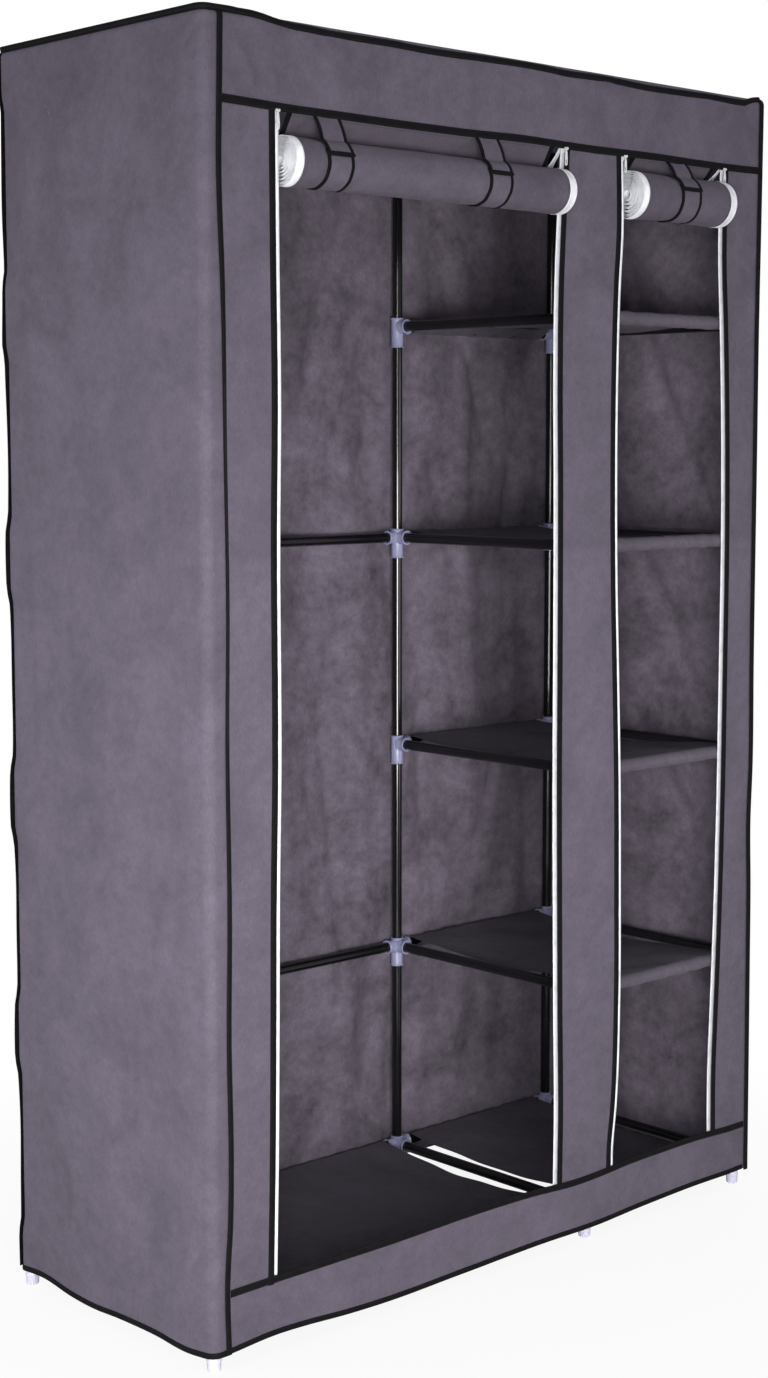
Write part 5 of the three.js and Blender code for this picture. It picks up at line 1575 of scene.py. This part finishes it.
roll_wrinkles = unevenness(91, 0.34, 0.10, 0, 1)
roll_ridges = unevenness(92, 1.3, 0.35, 0.25, 1)
pressed_depth, pressed_half_width = 0.0016, 0.024
drawn_depth, drawn_half_width = 0.0007, 0.06
strap_fold, loose_fold = 0.0032, 0.0014
side_edge_inset = 0.0035


def from_ends(roll, x):
    return np.minimum(x - roll["low_x"], roll["high_x"] - x)


def roll_radius(roll, turns, x):
    """From the roll's axis to the middle of its cloth, after some turns, at a place along it."""
    share = turns / roll["turns"]
    radius = roll["radius"] - share * (roll["radius"] - roll_eye)
    paired = pair_swing * (
        np.tanh(3 * np.sin(turns * math.pi + 0.6)) - 1) * np.clip(3 * share, 0, 1)
    depth = (radius / roll["radius"]) ** 2
    waist = 0
    for place in roll["strap_places"]:
        under_strap = np.exp(-(((x - place) / pressed_half_width) ** 4))
        beside_strap = np.exp(-(((x - place) / drawn_half_width) ** 2))
        waist = waist - pressed_depth * under_strap - drawn_depth * beside_strap
    slack = eased(from_ends(roll, x) / 0.05)
    angle = turns * 2 * math.pi
    surface = -0.0009 - 0.0006 * roll_wrinkles(x, 0) + 0.0005 * roll_ridges(angle, 9 * x)
    return radius + paired + depth * (waist + slack * surface)


def on_roll(roll, radius, turns, x):
    angle = roll["start"] + turns * 2 * math.pi
    return np.stack(np.broadcast_arrays(x, front_cover_y + radius * np.sin(angle),
                                        roll["axis"] + radius * np.cos(angle)), axis=-1)


def door_grid(roll, x):
    """The middle of the door's cloth, from the header seam down and round to the roll's eye."""
    steps = int(roll["turns"] * turn_steps_round)
    turns = np.linspace(0, roll["turns"], steps)[:, None]
    winding = on_roll(roll, roll_radius(roll, turns, x), turns, x)
    top = np.stack(np.broadcast_arrays(x, front_cover_y + 0.0012, header_seam(x) + 0.0015), axis=-1)
    down = np.linspace(0, 1, hanging_steps)[:-1, None, None]
    hanging = top + down * (winding[:1] - top)
    share = down[..., 0]
    folds = 0
    for place in roll["strap_places"]:
        for side, reach in ((-1, 0.055), (1, 0.040)):
            path = place + side * (0.014 + share * reach)
            folds = folds + strap_fold * np.exp(-(((x - path) / (0.004 + 0.008 * share)) ** 2))
    folds = folds + loose_fold * roll_wrinkles(x * 2.2, 0)
    hanging[..., 1] += np.sin(math.pi * share) * folds * eased(from_ends(roll, x) / 0.02)
    return np.concatenate([hanging, winding])


door_column = 0.009
# Painted shade: both faces of the door cloth are the cover's cloth made darker, to darken the rolled
# doors.
shaded_door_finish = cloth_finish("door_cloth", (0.086, 0.073, 0.097), 0.42, seed=5.0)
shaded_door_inner_finish = cloth_finish("door_cloth_inside", (0.085, 0.072, 0.094), 0.3, seed=6.0)
for door, roll in door_rolls.items():
    width = roll["high_x"] - roll["low_x"]
    x = np.linspace(roll["low_x"], roll["high_x"], int(width / door_column))
    curtain = add_cloth(
        f"{door}_rolled_cloth", [cloth_part(door_grid(roll, x), door_cloth_thickness)],
        [shaded_door_finish, shaded_door_inner_finish])
    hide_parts(door)
    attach(curtain, roll["body"])
    side_edges = []
    for side, inner in (("left", 1), ("right", -1)):
        low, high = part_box(f"{door}_{side}_tape")
        centre = (low.x + high.x) / 2
        path = door_grid(roll, np.array([centre]))[:, 0]
        outward = np.cross(np.gradient(path, axis=0), (1, 0, 0))
        tucked = eased(1 - np.arange(len(path)) / hanging_steps)[:, None]
        sections = np.repeat(zip_outline[None], len(path), axis=0) * np.array([-0.94 * inner, 0.90])
        sections[..., 0] = sections[..., 0] * (1 - 0.6 * tucked) + inner * 0.0095 * tucked
        path = path + np.array([0, 0.0012, 0]) * tucked
        points, faces, finishes, flat = swept_part(path, outward, sections)
        flat[:, 1] *= -inner
        rolled_tape = add_cloth(
            f"{door}_{side}_rolled_zip_tape", [(points, faces, finishes, flat)], [zip_finish])
        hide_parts(f"{door}_{side}_tape")
        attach(rolled_tape, roll["body"])
        edge_x = roll["low_x" if inner > 0 else "high_x"] + inner * side_edge_inset
        hanging = door_grid(roll, np.array([edge_x]))[:20, 0]
        hanging_outward = np.cross(np.gradient(hanging, axis=0), (1, 0, 0))
        side_edges.append(swept_part(hanging, hanging_outward, strap_edge * np.array([1.5, 1])))
    door_edges = add_cloth(f"{door}_side_edges", side_edges, [binding_finish])
    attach(door_edges, roll["body"])

# Roll straps
# Each strap is two short strips of the cover's cloth with bound edges, sewn into the header
# seam: a loop behind and under the roll, and a tab in front whose bar ends on the loop.
strap_width = 0.040
strap_thickness = 0.0010
strap_cupping = 0.0006
loop_lift = 0.0016
tab_lift = 0.0040
loop_end = 303
tab_start, tab_end = 330, 290
loop_root = 0.006
tab_root_out, tab_root_drop = 0.0022, 0.007
tab_bow = 0.0016
bar_half_length = 0.0255


def turns_to(roll, degrees):
    """How many turns the roll has made where its cloth reaches an angle round its axis."""
    return (math.radians(degrees) - roll["start"]) / (2 * math.pi)


def strap_parts(path, outward, centre):
    """A strip of cloth along a path in its plane, and the two tapes that bind its edges."""
    across = np.linspace(-0.5, 0.5, 11)
    grid = np.repeat(path[:, None], len(across), axis=1)
    grid[..., 0] = centre + across * strap_width
    grid = grid + strap_cupping * np.cos(across * 2 * math.pi)[None, :, None] * outward[:, None]
    return grid, [swept_part(grid[:, column], outward, strap_edge) for column in (0, -1)]


for door, roll in door_rolls.items():
    for strap, centre in zip(roll["straps"], roll["strap_places"]):
        turns = np.linspace(0, turns_to(roll, loop_end), 60)
        radius = roll_radius(roll, turns, centre) + loop_lift
        winding = on_roll(roll, radius, turns, np.full(len(turns), centre))
        behind = np.array([0, math.sin(roll["start"]), math.cos(roll["start"])])
        down = np.array([0, math.cos(roll["start"]), -math.sin(roll["start"])])
        seam_end = np.array([centre, front_cover_y, roll["seam"]])
        seam_end = seam_end + loop_root * down + loop_lift * behind
        share = np.linspace(0, 1, 11)[:-1, None]
        loop_path = np.concatenate([seam_end + share * (winding[0] - seam_end), winding])
        loop_outward = np.cross(np.gradient(loop_path, axis=0), (1, 0, 0))
        grid, edges = strap_parts(loop_path, loop_outward / lengths_of(loop_outward), centre)
        loop = add_cloth(
            f"{strap}_strap_loop_cloth", [cloth_part(grid, strap_thickness)],
            [outer_cloth, outer_cloth])
        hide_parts(f"{strap}_strap_loop")
        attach(loop, roll["body"])
        loop_edges = add_cloth(f"{strap}_strap_loop_edges", edges, [binding_finish])
        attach(loop_edges, roll["body"])

        turns = np.linspace(turns_to(roll, tab_start), turns_to(roll, tab_end), 14)
        radius = roll_radius(roll, turns, centre) + tab_lift
        arc = on_roll(roll, radius, turns, np.full(len(turns), centre))
        seam_end = np.array([centre, front_cover_y - tab_root_out, roll["seam"] - tab_root_drop])
        share = np.linspace(0, 1, 15)[:-1, None]
        straight = seam_end + share * (arc[0] - seam_end)
        straight[:, 1:] += tab_bow * np.sin(math.pi * share) * np.array([-0.8, 0.6])
        tab_path = np.concatenate([straight, arc])
        tab_outward = np.cross((1, 0, 0), np.gradient(tab_path, axis=0))
        tab_outward /= lengths_of(tab_outward)
        grid, edges = strap_parts(tab_path, tab_outward, centre)
        tab = add_cloth(
            f"{strap}_strap_tab_cloth", [cloth_part(grid, strap_thickness)],
            [outer_cloth, outer_cloth])
        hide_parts(f"{strap}_strap_tab")
        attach(tab, f"{strap}_tab")
        bar_x = np.linspace(-bar_half_length, bar_half_length, 13)
        bar_path = np.repeat(tab_path[-1:], len(bar_x), axis=0)
        bar_path[:, 0] = centre + bar_x
        taper = np.interp(np.abs(bar_x), [0, 0.021, bar_half_length], [1, 1, 0.15])[:, None, None]
        bar = swept_part(bar_path, tab_outward[-1], strap_edge * np.array([1.25, 1.1]) * taper)
        tab_edges = add_cloth(f"{strap}_strap_tab_edges", [*edges, bar], [binding_finish])
        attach(tab_edges, f"{strap}_tab")
